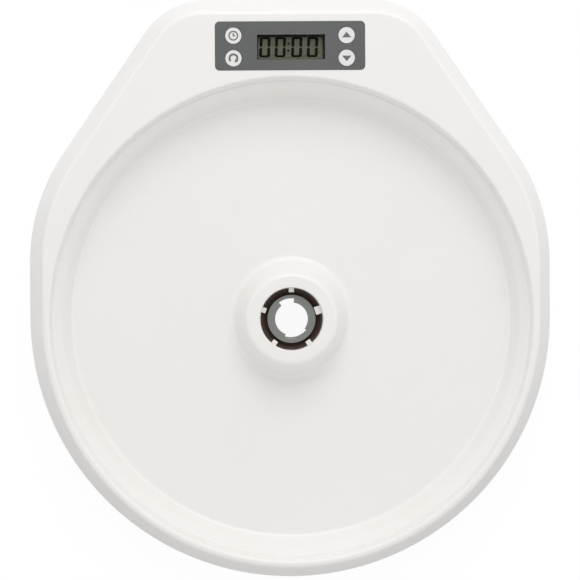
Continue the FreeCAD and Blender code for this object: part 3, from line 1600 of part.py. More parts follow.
def export():
    os.makedirs("parts", exist_ok=True)
    for item in NODES:
        item.Shape.exportStep("parts/%s.step" % item.Label)
        extent = item.Shape.BoundBox
        print("%-18s solids %d  volume %9.1f mm3  x %7.2f %7.2f  y %7.2f %7.2f  z %6.2f %6.2f" % (
            item.Label, len(item.Shape.Solids), item.Shape.Volume,
            extent.XMin, extent.XMax, extent.YMin, extent.YMax, extent.ZMin, extent.ZMax))


build()
check()
export()
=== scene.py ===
# %% [markdown]
# # Drive base of a rotating pet feeder
# The object is a low white plastic base. A round recess takes the food tray, a conical hub in its middle
# holds the collar that turns the tray, and a grey panel at the back carries a display and four keys.
# The solid model is loaded as a fixed frame: its nodes are the real pieces, at their real places. This
# script gives them their finishes, and adds what a solid model leaves out: lit digits, printed symbols,
# dished key caps and wrapped cells.

# %% Load the frame
import bmesh
import bpy
import math
from mathutils import Matrix, Vector


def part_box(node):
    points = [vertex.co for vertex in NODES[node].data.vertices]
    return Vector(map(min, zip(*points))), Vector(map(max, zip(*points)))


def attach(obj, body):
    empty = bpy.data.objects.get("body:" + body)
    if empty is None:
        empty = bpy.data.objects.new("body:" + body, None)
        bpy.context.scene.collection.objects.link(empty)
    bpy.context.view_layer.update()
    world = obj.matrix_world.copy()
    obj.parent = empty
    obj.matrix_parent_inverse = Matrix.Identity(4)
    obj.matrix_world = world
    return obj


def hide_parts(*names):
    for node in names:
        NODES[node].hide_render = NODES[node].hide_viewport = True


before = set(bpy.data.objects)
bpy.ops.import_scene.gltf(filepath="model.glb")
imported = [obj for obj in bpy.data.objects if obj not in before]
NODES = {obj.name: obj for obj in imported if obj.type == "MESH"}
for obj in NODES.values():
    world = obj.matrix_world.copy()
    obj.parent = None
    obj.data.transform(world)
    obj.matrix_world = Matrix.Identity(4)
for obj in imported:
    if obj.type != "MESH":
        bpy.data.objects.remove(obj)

MM = 0.001
bpy.context.view_layer.update()
scene = bpy.context.scene

# %% [markdown]
# ## Camera
# A catalogue picture of such a base is taken from straight above, from far enough away that the recess
# looks round. A long lens at 1.4 m does that. The camera stands slightly left of the middle and towards
# the rear, so a little more of the left flank shows than of the right one, and it is rolled by a third of
# a degree, as a camera on a stand often is. The rear of the base is at the top of the frame.

# %% Camera above the base
CAMERA_PLACE = Vector((-0.02, 0.022, 1.4))
CAMERA_AIM = Vector((-0.0002, -0.0009, 0.0))
CAMERA_ROLL = math.radians(-0.36)
LENS_MM = 140.9

camera_data = bpy.data.cameras.new("camera_above")
camera_data.lens = LENS_MM
camera = bpy.data.objects.new("camera_above", camera_data)
scene.collection.objects.link(camera)
backwards = (CAMERA_PLACE - CAMERA_AIM).normalized()
rightwards = Vector((0, 1, 0)).cross(backwards).normalized()
turn = Matrix((rightwards, backwards.cross(rightwards), backwards)).transposed()
turn = turn @ Matrix.Rotation(CAMERA_ROLL, 3, "Z")
camera.matrix_world = Matrix.Translation(CAMERA_PLACE) @ turn.to_4x4()
scene.camera = camera
print("camera at", tuple(round(value, 3) for value in camera.location))

# %% [markdown]
# ## Colours and nodes
# Colours are easiest to read as the hex codes of a paint program, but shaders work in linear light, so
# one function turns a code into linear red, green and blue. Every material is a small graph of nodes, and
# one more function adds a node, sets its properties and fills its sockets, either with a value or with a
# link from another node.

# %% Helpers for materials
def linear(code):
    """Linear red, green, blue and alpha of an sRGB hex code."""
    values = [int(code[start:start + 2], 16) / 255 for start in (1, 3, 5)]
    return [v / 12.92 if v <= 0.04045 else ((v + 0.055) / 1.055) ** 2.4 for v in values] + [1.0]


def add(tree, kind, sockets=None, **settings):
    """Adds a node. sockets maps an input's name or number to a value or to another node's output."""
    node = tree.nodes.new("ShaderNode" + kind)
    for name, value in settings.items():
        setattr(node, name, value)
    for name, value in (sockets or {}).items():
        if isinstance(value, bpy.types.NodeSocket):
            tree.links.new(value, node.inputs[name])
        else:
            node.inputs[name].default_value = value
    return node


def start_material(name):
    """An empty material and its node tree."""
    material = bpy.data.materials.new(name)
    material.use_nodes = True
    material.node_tree.nodes.clear()
    return material, material.node_tree


def per_mm(size):
    """Scale of a pattern on Object coordinates whose features are this many millimetres apart."""
    return 1 / (size * MM)


print("white plastic in linear light:", [round(value, 3) for value in linear("#f0eeea")])

# %% [markdown]
# ## Light
# A soft box behind the base and above it lights surfaces that face the rear more than those that face
# the front, which is how a recess this shallow can be read at all. The rest is even light from all round.
# An eye sees a plain white surround. Mirrors see one that darkens straight overhead, like the black ceiling
# over a packshot table, so that the display's window doesn't mirror white into the digits.

# %% Soft box and surround
SOFT_BOX_DISTANCE = 2.0
SOFT_BOX_ELEVATION = math.radians(46)
SOFT_BOX_BEARING = math.radians(83)
SOFT_BOX_SIDE = 1.3
SOFT_BOX_WATTS = 12.8
SURROUND_LEVEL = 0.755
CEILING_START = 0.55
CEILING_FULL = 0.95
CEILING_LEVEL = 0.12
WHITE = linear("#ffffff")

box_data = bpy.data.lights.new("soft_box", "AREA")
box_data.shape = "SQUARE"
box_data.size = SOFT_BOX_SIDE
box_data.energy = SOFT_BOX_WATTS
soft_box = bpy.data.objects.new("soft_box", box_data)
scene.collection.objects.link(soft_box)
direction = Vector((
    math.cos(SOFT_BOX_ELEVATION) * math.cos(SOFT_BOX_BEARING),
    math.cos(SOFT_BOX_ELEVATION) * math.sin(SOFT_BOX_BEARING),
    math.sin(SOFT_BOX_ELEVATION)))
soft_box.location = direction * SOFT_BOX_DISTANCE
soft_box.rotation_euler = (-direction).to_track_quat("-Z", "Y").to_euler()

world = bpy.data.worlds.new("surround")
world.use_nodes = True
scene.world = world
tree = world.node_tree
tree.nodes.clear()
path = add(tree, "LightPath")
mirrors = add(tree, "Math", {0: path.outputs["Is Glossy Ray"], 1: path.outputs["Is Transmission Ray"]},
              operation="MAXIMUM")
height = add(tree, "SeparateXYZ", {0: add(tree, "TexCoord").outputs["Generated"]})
overhead = add(tree, "MapRange", {
    "Value": height.outputs["Z"], "From Min": CEILING_START, "From Max": CEILING_FULL,
    "To Min": 1.0, "To Max": CEILING_LEVEL})
even = add(tree, "Background", {"Color": WHITE, "Strength": SURROUND_LEVEL})
mirrored = add(tree, "Background", {"Color": WHITE, "Strength": overhead.outputs[0]})
white = add(tree, "Background", {"Color": WHITE, "Strength": 1.0})
seen = add(tree, "MixShader", {0: mirrors.outputs[0], 1: even.outputs[0], 2: mirrored.outputs[0]})
shown = add(tree, "MixShader", {0: path.outputs["Is Camera Ray"], 1: seen.outputs[0], 2: white.outputs[0]})
add(tree, "OutputWorld", {"Surface": shown.outputs[0]})
scene.view_settings.view_transform = "Standard"
print("soft box at", tuple(round(value, 2) for value in soft_box.location))

# %% [markdown]
# ## Table top
# The base stands on a plain pale table. Its colour is what lights the flanks from below. To an eye it
# should look white but still hold the object's shadow, so a camera ray sees a dark lit colour with a
# steady glow added: where the table is lit the sum is white, and in the shadow it drops a little below it.
# The table's colour is painted paler behind the base, near the lamp, than in front of it: painted shade
# for the lamp's light falling off. Mirrors see less of its glow in front, a painted reflection, so the
# front flank mirrors a darker table.

# %% Table
TABLE_HALF = 4.0
TABLE_GAP = 0.0002
TABLE_GLOW = 0.93
# Painted reflection and painted shade: how much glow mirrors see, and where the table's colour changes.
PAINTED_REFLECTION_FRONT = 0.54
PAINTED_REFLECTION_BACK = 0.92
PAINTED_FALLOFF_FRONT = -0.12
PAINTED_FALLOFF_BACK = 0.10

bm = bmesh.new()
bmesh.ops.create_grid(bm, x_segments=1, y_segments=1, size=TABLE_HALF)
bmesh.ops.translate(bm, verts=bm.verts, vec=(0, 0, -TABLE_GAP))
table_mesh = bpy.data.meshes.new("table_top")
bm.to_mesh(table_mesh)
bm.free()
table = bpy.data.objects.new("table_top", table_mesh)
scene.collection.objects.link(table)
material, tree = start_material("white_melamine")
path = add(tree, "LightPath")
straight = add(tree, "Math", {0: path.outputs["Is Camera Ray"], 1: path.outputs["Is Transmission Ray"]},
               operation="MAXIMUM")
back = add(tree, "SeparateXYZ", {0: add(tree, "TexCoord").outputs["Object"]}).outputs["Y"]
# Painted shade: a mask from front to back, over which the table's colour and its glow in mirrors change.
reach = add(tree, "MapRange", {"Value": back, "From Min": PAINTED_FALLOFF_FRONT, "From Max": PAINTED_FALLOFF_BACK})
# Painted reflection: glossy rays see less of the table's glow in front than behind.
mirror = add(tree, "MapRange", {"Value": back, "From Min": PAINTED_FALLOFF_FRONT, "From Max": PAINTED_FALLOFF_BACK,
                                "To Min": PAINTED_REFLECTION_FRONT, "To Max": PAINTED_REFLECTION_BACK})
gloss = add(tree, "Math", {0: path.outputs["Is Glossy Ray"], 1: mirror.outputs[0]}, operation="MULTIPLY")
seen = add(tree, "Math", {0: straight.outputs[0], 1: gloss.outputs[0]}, operation="MAXIMUM")
# Painted shade: the table's colour runs from #c2c2c2 in front to #eaeaea behind, for the lamp's light
# falling off.
tone = add(tree, "ValToRGB", {0: reach.outputs[0]})
tone.color_ramp.elements[0].color = linear("#c2c2c2")
tone.color_ramp.elements[1].color = linear("#eaeaea")
lit = add(tree, "BsdfDiffuse", {"Color": tone.outputs["Color"]})
dimmed = add(tree, "BsdfDiffuse", {"Color": linear("#505050")})
glow = add(tree, "Emission", {"Color": WHITE, "Strength": TABLE_GLOW})
glowing = add(tree, "AddShader", {0: dimmed.outputs[0], 1: glow.outputs[0]})
surface = add(tree, "MixShader", {0: seen.outputs[0], 1: lit.outputs[0], 2: glowing.outputs[0]})
add(tree, "OutputMaterial", {"Surface": surface.outputs[0]})
table_mesh.materials.append(material)
print("table", 2 * TABLE_HALF, "m wide")

# %% [markdown]
# ## Moulded plastic
# Nearly every part of the base is injection moulded, mostly in ABS and acetal. Such a surface isn't one
# flat colour: the pigment drifts a little over some centimetres, the gloss follows the texture of the
# mould, and a fine spark-eroded grain breaks up the highlights. One function mixes those three for any
# plastic, from its colour, its gloss and the size of its grain.

# %% Function for moulded plastic
NOISE_LOW, NOISE_HIGH = 0.3, 0.7
PIGMENT_LOW, PIGMENT_HIGH = 0.35, 0.65
GLOSS_DRIFT = 0.03
GRAIN_STRENGTH = 0.25


def moulded(name, colour, shade, roughness, grain_mm, grain_depth=0.01, drift_mm=45.0, ior=1.53):
    """Injection-moulded plastic. Its colour drifts from colour to shade, and its grain is a light bump."""
    material, tree = start_material(name)
    where = add(tree, "TexCoord").outputs["Object"]
    drift = add(tree, "TexNoise", {"Vector": where, "Scale": per_mm(drift_mm), "Detail": 2.0})
    pigment = add(tree, "ValToRGB", {0: drift.outputs["Fac"]})
    pigment.color_ramp.elements[0].position = PIGMENT_LOW
    pigment.color_ramp.elements[0].color = linear(shade)
    pigment.color_ramp.elements[1].position = PIGMENT_HIGH
    pigment.color_ramp.elements[1].color = linear(colour)
    gloss = add(tree, "TexNoise", {"Vector": where, "Scale": per_mm(drift_mm / 4), "Detail": 3.0})
    polish = add(tree, "MapRange", {
        "Value": gloss.outputs["Fac"], "From Min": NOISE_LOW, "From Max": NOISE_HIGH,
        "To Min": roughness - GLOSS_DRIFT, "To Max": roughness + GLOSS_DRIFT})
    grain = add(tree, "TexNoise", {"Vector": where, "Scale": per_mm(grain_mm), "Detail": 1.0})
    bump = add(tree, "Bump", {
        "Height": grain.outputs["Fac"], "Strength": GRAIN_STRENGTH, "Distance": grain_depth * MM})
    shader = add(tree, "BsdfPrincipled", {
        "Base Color": pigment.outputs["Color"], "Roughness": polish.outputs[0], "IOR": ior,
        "Normal": bump.outputs["Normal"]})
    add(tree, "OutputMaterial", {"Surface": shader.outputs["BSDF"]})
    return material


def finish_nodes(material, *names):
    """Gives CAD nodes this finish in place of the one they were packed with."""
    for name in names:
        NODES[name].data.materials.clear()
        NODES[name].data.materials.append(material)


# ABS, injection moulded in a fine spark-eroded tool: warm white with a satin gloss.
satin_abs = moulded("satin_white_abs", "#f4f2f0", "#f3f1ee", 0.36, 0.9)
finish_nodes(satin_abs, "upper_housing")
# The same ABS from a coarser tool, as undersides are: it scatters more, and its grain can be seen.
grained_abs = moulded("grained_white_abs", "#e9e7e2", "#e6e3dd", 0.52, 1.1, 0.03)
finish_nodes(grained_abs, "bottom_cover", "battery_door", "battery_bay")
# Acetal pigmented brown-black, moulded: it slides well, and it looks waxy rather than shiny.
brown_acetal = moulded("brown_black_acetal", "#584840", "#4d3d34", 0.42, 0.8, ior=1.48)
finish_nodes(brown_acetal, "drive_tube")
# ABS in mid grey, moulded: a neutral satin ring.
grey_abs = moulded("mid_grey_abs", "#878986", "#80827f", 0.4, 0.8)
finish_nodes(grey_abs, "tray_socket")
# Polycarbonate film, back-printed in dark grey, with a fine velvet texture that keeps it matt.
velvet_film = moulded("velvet_grey_film", "#636464", "#606161", 0.45, 0.45, 0.02)
finish_nodes(velvet_film, "panel_overlay")
# Liquid crystal cell under its polariser: olive grey, with a faint drift and a satin front.
olive_crystal = moulded("olive_liquid_crystal", "#686a57", "#5e604e", 0.5, 0.6, drift_mm=60.0, ior=1.3)
finish_nodes(olive_crystal, "lcd_glass")
print("plastics:", [material.name for material in (
    satin_abs, grained_abs, brown_acetal, grey_abs, velvet_film, olive_crystal)])

# %% [markdown]
# ## Clear window
# The display lies behind a moulded and polished acrylic pane, coated against glare. Glass and clear plastic
# cast a dark shadow in a path tracer, because a lamp's light is rarely found through two surfaces. A real
# pane hardly darkens what is under it, so shadow rays are let straight through.

# %% Window pane
RIPPLE_MM = 12.0
RIPPLE_DEPTH = 0.002
RIPPLE_STRENGTH = 0.1
COATED_IOR = 1.2


def clear_plastic(name, tint, ior):
    """A clear pane that lets shadow rays straight through, so that lamps light what lies behind."""
    material, tree = start_material(name)
    where = add(tree, "TexCoord").outputs["Object"]
    ripple = add(tree, "TexNoise", {"Vector": where, "Scale": per_mm(RIPPLE_MM), "Detail": 1.0})
    bump = add(tree, "Bump", {
        "Height": ripple.outputs["Fac"], "Strength": RIPPLE_STRENGTH, "Distance": RIPPLE_DEPTH * MM})
    pane = add(tree, "BsdfPrincipled", {
        "Base Color": linear(tint), "Roughness": 0.0, "IOR": ior, "Transmission Weight": 1.0,
        "Normal": bump.outputs["Normal"]})
    straight = add(tree, "BsdfTransparent", {"Color": linear(tint)})
    path = add(tree, "LightPath")
    mixed = add(tree, "MixShader", {
        0: path.outputs["Is Shadow Ray"], 1: pane.outputs["BSDF"], 2: straight.outputs["BSDF"]})
    add(tree, "OutputMaterial", {"Surface": mixed.outputs[0]})
    return material


# Acrylic, moulded, polished and coated: clear with a trace of grey. The coating takes away most of what
# bare acrylic with an IOR of 1.49 would reflect, and a lower IOR stands for that.
clear_acrylic = clear_plastic("coated_clear_acrylic", "#fbfcfb", COATED_IOR)
finish_nodes(clear_acrylic, "lcd_window")
print("window:", clear_acrylic.name, "with an IOR of", COATED_IOR)

# %% [markdown]
# ## Making a piece
# New pieces are drawn in millimetres, like a drawing on paper, and shrunk to metres at the end. One
# function does that for every piece: it merges doubles, turns the faces outwards, shades the rounds smooth
# while true corners stay sharp, and hands the piece to the moving body that it belongs to. A few short
# helpers stand for the operators that nearly every piece needs: a block, a shift, a turn and a rounding.

# %% Helpers for shapes, and the function that finishes a piece
SHARP_CORNER = math.radians(32)
MERGE_MM = 0.001


def block(width, depth, height):
    """A block about the origin."""
    bm = bmesh.new()
    bmesh.ops.create_cube(bm, size=1)
    bmesh.ops.scale(bm, vec=(width, depth, height), verts=bm.verts)
    return bm


def shift(bm, offset):
    """Moves a whole bmesh."""
    bmesh.ops.translate(bm, verts=bm.verts, vec=offset)
    return bm


def turned_by(bm, degrees, axis="Z"):
    """Turns a whole bmesh about an axis through the origin."""
    matrix = Matrix.Rotation(math.radians(degrees), 3, axis)
    bmesh.ops.rotate(bm, verts=bm.verts, cent=(0, 0, 0), matrix=matrix)
    return bm


def rounded(bm, geom, size, segments, affect="EDGES"):
    """Rounds some edges or vertices, or cuts them off with one segment."""
    bmesh.ops.bevel(bm, geom=geom, offset=size, offset_type="OFFSET", segments=segments, profile=0.5,
                    affect=affect, material=-1)
    return bm


def upright_edges(bm):
    """The edges of a block that stand upright."""
    return [edge for edge in bm.edges if edge.verts[0].co.xy == edge.verts[1].co.xy]


def to_object(bm, name):
    """Writes a bmesh to an object at the origin and frees it."""
    mesh = bpy.data.meshes.new(name)
    bm.to_mesh(mesh)
    bm.free()
    thing = bpy.data.objects.new(name, mesh)
    scene.collection.objects.link(thing)
    return thing


def from_object(thing):
    """Takes an object's mesh back into a bmesh and removes the object."""
    bm = bmesh.new()
    bm.from_mesh(thing.data)
    bpy.data.objects.remove(thing)
    return bm


def tidy_solid(bm):
    """Merges doubles and turns every face outwards."""
    bmesh.ops.remove_doubles(bm, verts=bm.verts, dist=MERGE_MM)
    bmesh.ops.recalc_face_normals(bm, faces=bm.faces)
    return bm


def finish_piece(bm, name, material, body, slot, *replaced):
    """Turns a bmesh in millimetres into a finished piece that rides on a body."""
    tidy_solid(bm)
    bmesh.ops.scale(bm, vec=(MM, MM, MM), verts=bm.verts)
    piece = to_object(bm, name)
    piece.data.shade_smooth()
    piece.data.set_sharp_from_angle(angle=SHARP_CORNER)
    piece.data.materials.append(material)
    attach(piece, body)
    if replaced:
        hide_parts(*replaced)
    print(name, "faces:", len(piece.data.polygons))
    return piece


print("corners of more than", round(math.degrees(SHARP_CORNER)), "degrees stay sharp")

# %% [markdown]
# ## Outline of the housing
# Seen from above the housing is a half circle at the front, two straight flanks, two slanted shoulders and
# a straight back, with round corners between them. Arcs are what a spin does: one vertex is spun about each
# corner's centre, and pushed along the straight runs between the arcs. Half of the outline is made, and its
# mirror image closes it. Insetting the filled outline by 12 mm while lifting it by 50 mm gives walls that
# lean inwards all round by the same amount, as a moulded part needs to leave its mould.

# %% Outline and leaning walls
HUB = Vector((0.0, -17.5, 0.0))
SKIRT_HEIGHT = 2.0
RIM_HEIGHT = 52.0
HALF_WIDTH = 160.0
REAR_REACH = 195.0
SHOULDER_REACH = 172.0
SHOULDER_ANGLE = math.radians(34.5)
SIDE_CORNER = 120.0
REAR_CORNER = 45.6
DRAFT_RUN = 12.0
RIM_ROUND = 2.3
ARC_STEP = math.radians(2)


def push(bm, vertex, offset):
    """Extrudes a vertex along a straight run and returns the new end."""
    made = bmesh.ops.extrude_vert_indiv(bm, verts=[vertex])
    bmesh.ops.translate(bm, verts=made["verts"], vec=offset)
    return made["verts"][0]


def sweep(bm, vertex, centre, angle):
    """Spins a vertex about an upright axis and returns the new end."""
    made = bmesh.ops.spin(bm, geom=[vertex], cent=centre, axis=(0, 0, 1), dvec=(0, 0, 0), angle=angle,
                          steps=max(2, math.ceil(angle / ARC_STEP)), use_duplicate=False)
    return [item for item in made["geom_last"] if isinstance(item, bmesh.types.BMVert)][0]


def outline_face(bm, height, inset):
    """The housing's outline, or an outline this far inside it, as one face."""
    half = HALF_WIDTH - inset
    rear = REAR_REACH - inset
    reach = SHOULDER_REACH - inset
    cos, sin = math.cos(SHOULDER_ANGLE), math.sin(SHOULDER_ANGLE)
    side_run = (SIDE_CORNER - inset) * math.tan(SHOULDER_ANGLE / 2)
    rear_run = (REAR_CORNER - inset) * math.tan((math.pi / 2 - SHOULDER_ANGLE) / 2)
    side_vertex = Vector((half, (reach - half * cos) / sin, 0))
    rear_vertex = Vector(((reach - rear * sin) / cos, rear, 0))
    lift = HUB + Vector((0, 0, height))
    end = sweep(bm, bm.verts.new(lift + Vector((0, -half, 0))), lift, math.pi / 2)
    end = push(bm, end, Vector((0, side_vertex.y - side_run, 0)))
    side_centre = lift + Vector((HALF_WIDTH - SIDE_CORNER, side_vertex.y - side_run, 0))
    end = sweep(bm, end, side_centre, SHOULDER_ANGLE)
    slant = (rear_vertex - side_vertex).normalized()
    end = push(bm, end, slant * ((rear_vertex - side_vertex).length - side_run - rear_run))
    rear_centre = lift + Vector((rear_vertex.x - rear_run, REAR_REACH - REAR_CORNER, 0))
    end = sweep(bm, end, rear_centre, math.pi / 2 - SHOULDER_ANGLE)
    push(bm, end, Vector((rear_run - rear_vertex.x, 0, 0)))
    bmesh.ops.mirror(bm, geom=bm.verts[:] + bm.edges[:], merge_dist=MERGE_MM, axis="X")
    bmesh.ops.remove_doubles(bm, verts=bm.verts, dist=MERGE_MM)
    return bmesh.ops.contextual_create(bm, geom=bm.edges)["faces"][0]


def leaning_block(bottom, top, inset=0.0):
    """A solid on the outline whose walls lean inwards at the draft of the mould."""
    bm = bmesh.new()
    slope = DRAFT_RUN / (RIM_HEIGHT - SKIRT_HEIGHT)
    face = outline_face(bm, bottom, inset)
    if face.normal.z < 0:
        face.normal_flip()
    bmesh.ops.inset_region(bm, faces=[face], thickness=(top - bottom) * slope, depth=top - bottom,
                           use_boundary=True, use_even_offset=True)
    rim = list(face.edges)
    bmesh.ops.contextual_create(bm, geom=[edge for edge in bm.edges if edge.is_boundary])
    return tidy_solid(bm), rim


outer, rim = leaning_block(SKIRT_HEIGHT, RIM_HEIGHT)
rounded(outer, rim, RIM_ROUND, 6)
print("outline:", len(rim), "edges, rounded by", RIM_ROUND, "mm")

# %% [markdown]
# ## Recess and hub
# The recess and the conical hub are turned shapes: one half section, drawn as a line of points with
# rounded corners, is spun about the hub's axis. The line's corners are rounded first, by a vertex bevel.
# The space above the line is cut out of the block, and a second, thicker turned shape keeps the wall of the
# bowl when the block is hollowed from below.

# %% Turned shapes of the recess
TURN_STEPS = 256
FLOOR_HEIGHT = 26.0
HUB_HEIGHT = 48.0
BORE_RADIUS = 18.6
MOUTH_RADIUS = 18.9
MOUTH_BOTTOM = 43.9
HUB_TOP_RADIUS = 27.1
HUB_FOOT_RADIUS = 34.6
FLOOR_RADIUS = 132.6
WALL_BEND = (137.0, 37.6, 1.5)
LEDGE = [(141.6, 43.9, 0.3), (142.6, 44.0, 0.3)]
LIP_RADIUS = 144.0
# Beyond the lip the cutter is level and lies a hair above the rim, not in its plane.
OVER_RIM = RIM_HEIGHT + 0.01
CUT_RADIUS = 150.0
CUT_BOTTOM = 20.0
CUT_TOP = 60.0
# The underside of the bowl and of the plate round it, which the hollow has to leave standing.
PLATE = 2.4
PLATE_UNDERSIDE = RIM_HEIGHT - PLATE
BOWL_UNDERSIDE = 23.6
BOWL_RADIUS = 146.4
HUB_HOLLOW_TOP = 45.6


def spun(points, steps=TURN_STEPS):
    """Spins a half section about the hub's axis. Each point is (radius, height, length of its rounding)."""
    bm = bmesh.new()
    line = [bm.verts.new(HUB + Vector((point[0], 0, point[1]))) for point in points]
    for start, end in zip(line, line[1:]):
        bm.edges.new((start, end))
    for vertex, point in zip(line, points):
        if point[2]:
            rounded(bm, [vertex], point[2], 7, "VERTICES")
    bmesh.ops.spin(bm, geom=bm.verts[:] + bm.edges[:], cent=HUB, axis=(0, 0, 1), dvec=(0, 0, 0),
                   angle=2 * math.pi, steps=steps, use_merge=True, use_duplicate=False)
    return tidy_solid(bm)


above_bowl = spun([
    (0, CUT_BOTTOM, 0), (BORE_RADIUS, CUT_BOTTOM, 0), (BORE_RADIUS, MOUTH_BOTTOM, 0),
    (MOUTH_RADIUS, MOUTH_BOTTOM, 0), (MOUTH_RADIUS, HUB_HEIGHT, 0.6), (HUB_TOP_RADIUS, HUB_HEIGHT, 2.2),
    (HUB_FOOT_RADIUS, FLOOR_HEIGHT, 3.8), (FLOOR_RADIUS, FLOOR_HEIGHT, 2.4), WALL_BEND, *LEDGE,
    (LIP_RADIUS, OVER_RIM, 1.3), (CUT_RADIUS, OVER_RIM, 0), (CUT_RADIUS, CUT_TOP, 0), (0, CUT_TOP, 0)])
bowl_mass = spun([
    (0, CUT_BOTTOM + 1, 0), (21.0, CUT_BOTTOM + 1, 0), (21.0, HUB_HOLLOW_TOP, 0), (26.4, HUB_HOLLOW_TOP, 0),
    (34.9, BOWL_UNDERSIDE, 0), (134.8, BOWL_UNDERSIDE, 0), (144.2, 44.8, 0),
    (BOWL_RADIUS, PLATE_UNDERSIDE, 0), (BOWL_RADIUS, CUT_TOP, 0), (0, CUT_TOP, 0)])
print("turned shapes:", len(above_bowl.faces), "and", len(bowl_mass.faces), "faces")

# %% [markdown]
# ## Putting the housing together
# The block, its hollow and the openings are joined by Booleans, the way a mould has cores for them. The
# exact solver is used because the edge of the bowl lies in the plane of the hollow's top. Screw bosses
# and posts for the board are added to the inside last, rooted a little way into the shell above them.

# %% Booleans and small shapes
def carve(thing, tool, operation="DIFFERENCE"):
    """Applies one Boolean to an object and removes the tool."""
    tool = to_object(tool, "tool")
    step = thing.modifiers.new("carve", "BOOLEAN")
    step.operation = operation
    step.solver = "EXACT"
    step.object = tool
    shape = thing.evaluated_get(bpy.context.evaluated_depsgraph_get())
    mesh = bpy.data.meshes.new_from_object(shape)
    thing.modifiers.clear()
    thing.data = mesh
    bpy.data.objects.remove(tool)
    return thing


def rounded_block(width, depth, corner, bottom, top, middle):
    """An upright block with rounded corners, such as the seat of the panel."""
    bm = block(width, depth, top - bottom)
    if corner:
        rounded(bm, upright_edges(bm), corner, 8)
    return shift(bm, (*middle, (top + bottom) / 2))


def stub(radius, bottom, top, middle, steps=48):
    """An upright cylinder, as the tool for a round hole or the body of a boss."""
    bm = bmesh.new()
    bmesh.ops.create_cone(bm, cap_ends=True, segments=steps, radius1=radius, radius2=radius,
                          depth=top - bottom)
    return shift(bm, (*middle, (top + bottom) / 2))


def several(shapes):
    """Joins separate bmeshes into one, so that one Boolean can use them all."""
    whole = bmesh.new()
    for bm in shapes:
        part = bpy.data.meshes.new("part")
        bm.to_mesh(part)
        bm.free()
        whole.from_mesh(part)
        bpy.data.meshes.remove(part)
    return whole


def about_hub(radius, degrees):
    """A spot at this distance from the hub's axis."""
    turn = math.radians(degrees)
    return (radius * math.cos(turn), HUB.y + radius * math.sin(turn))


WALL = 2.6
# Bosses and posts bite this far into the shell above them.
BITE = 0.4
PANEL_MIDDLE = (0.0, 144.8)
PANEL_WIDTH = 89.3
PANEL_DEPTH = 29.2
PANEL_CORNER = 2.85
PANEL_SEAT = RIM_HEIGHT - 0.5
WINDOW_MIDDLE = (0.7, 144.3)
WINDOW_WIDTH = 40.4
WINDOW_DEPTH = 15.0
KEY_HOLE = 5.1
OPENING_BOTTOM = 45.0
BOSS_RADIUS = 4.0
BOSS_END = 7.4
PILOT_RADIUS = 1.5
PILOT_START = 7.0
PILOT_TOP = 20.4
POST_RADIUS = 2.6
POST_END = 43.6
POST_PILOT_RADIUS = 1.0
POST_PILOT_START = 43.0
POST_PILOT_TOP = 49.0
KEY_SPOTS = {"clock": (-33.6, 150.9), "turn": (-33.6, 137.5), "up": (33.6, 150.9), "down": (33.6, 137.5)}
BOSS_SPOTS = [about_hub(118, 30 + 60 * number) for number in range(6)]
CORNER_BOSSES = [(side * 72, 140.5) for side in (-1, 1)]
BOARD_POSTS = [(side * 47, back) for side in (-1, 1) for back in (133.1, 158.7)]

inner, _ = leaning_block(SKIRT_HEIGHT - 0.001, PLATE_UNDERSIDE, WALL)
hollow = carve(to_object(inner, "hollow"), bowl_mass)
shell = to_object(outer, "shell")
carve(shell, from_object(hollow))
carve(shell, above_bowl)
carve(shell, rounded_block(PANEL_WIDTH, PANEL_DEPTH, PANEL_CORNER, PANEL_SEAT, CUT_TOP, PANEL_MIDDLE))
carve(shell, several(
    [rounded_block(WINDOW_WIDTH, WINDOW_DEPTH, 0, OPENING_BOTTOM, CUT_TOP, WINDOW_MIDDLE)]
    + [stub(KEY_HOLE, OPENING_BOTTOM, CUT_TOP, spot, 64) for spot in KEY_SPOTS.values()]))
carve(shell, several(
    [stub(BOSS_RADIUS, BOSS_END, BOWL_UNDERSIDE + BITE, spot) for spot in BOSS_SPOTS]
    + [stub(BOSS_RADIUS, BOSS_END, PLATE_UNDERSIDE + BITE, spot) for spot in CORNER_BOSSES]
    + [stub(POST_RADIUS, POST_END, PLATE_UNDERSIDE + BITE, spot) for spot in BOARD_POSTS]), "UNION")
print("housing so far:", len(shell.data.polygons), "faces")

# %% [markdown]
# ## Tabs in the hub's mouth
# Four narrow tabs and one wider key tab reach inwards over the turning collar and hold it down. They are
# blocks with rounded tops, turned to their places round the axis and joined to the hub, and the pilot
# holes of the bosses are cut in the same way. The finished shell stands for the housing of the CAD model.

# %% Tabs, pilot holes and the finished housing
TAB_BOTTOM = 41.8
TAB_TOP = 43.6
TAB_ROUND = 0.3
TAB_ROOT = 1.0


def tab(width, reach, degrees):
    """One tab that grows inwards from the wall of the mouth."""
    middle = (BORE_RADIUS - (reach - TAB_ROOT) / 2, 0)
    bm = rounded_block(reach + TAB_ROOT, width, 0, TAB_BOTTOM, TAB_TOP, middle)
    top = [edge for edge in bm.edges if all(vert.co.z > TAB_TOP - 0.01 for vert in edge.verts)]
    rounded(bm, top, TAB_ROUND, 2)
    return shift(turned_by(bm, degrees), HUB)


narrow_tabs = [tab(3.2, 2.6, 90 + 72 * number) for number in range(4)]
carve(shell, several(narrow_tabs + [tab(4.8, 3.8, 18)]), "UNION")
carve(shell, several(
    [stub(PILOT_RADIUS, PILOT_START, PILOT_TOP, spot, 24) for spot in BOSS_SPOTS + CORNER_BOSSES]
    + [stub(POST_PILOT_RADIUS, POST_PILOT_START, POST_PILOT_TOP, spot, 24) for spot in BOARD_POSTS]))
housing = finish_piece(
    from_object(shell), "housing_shell", satin_abs, "base", "white_shell", "upper_housing")
flatten = housing.modifiers.new("flat_faces", "WEIGHTED_NORMAL")
flatten.keep_sharp = True
print("housing size:", [round(value / MM, 1) for value in housing.dimensions], "mm")
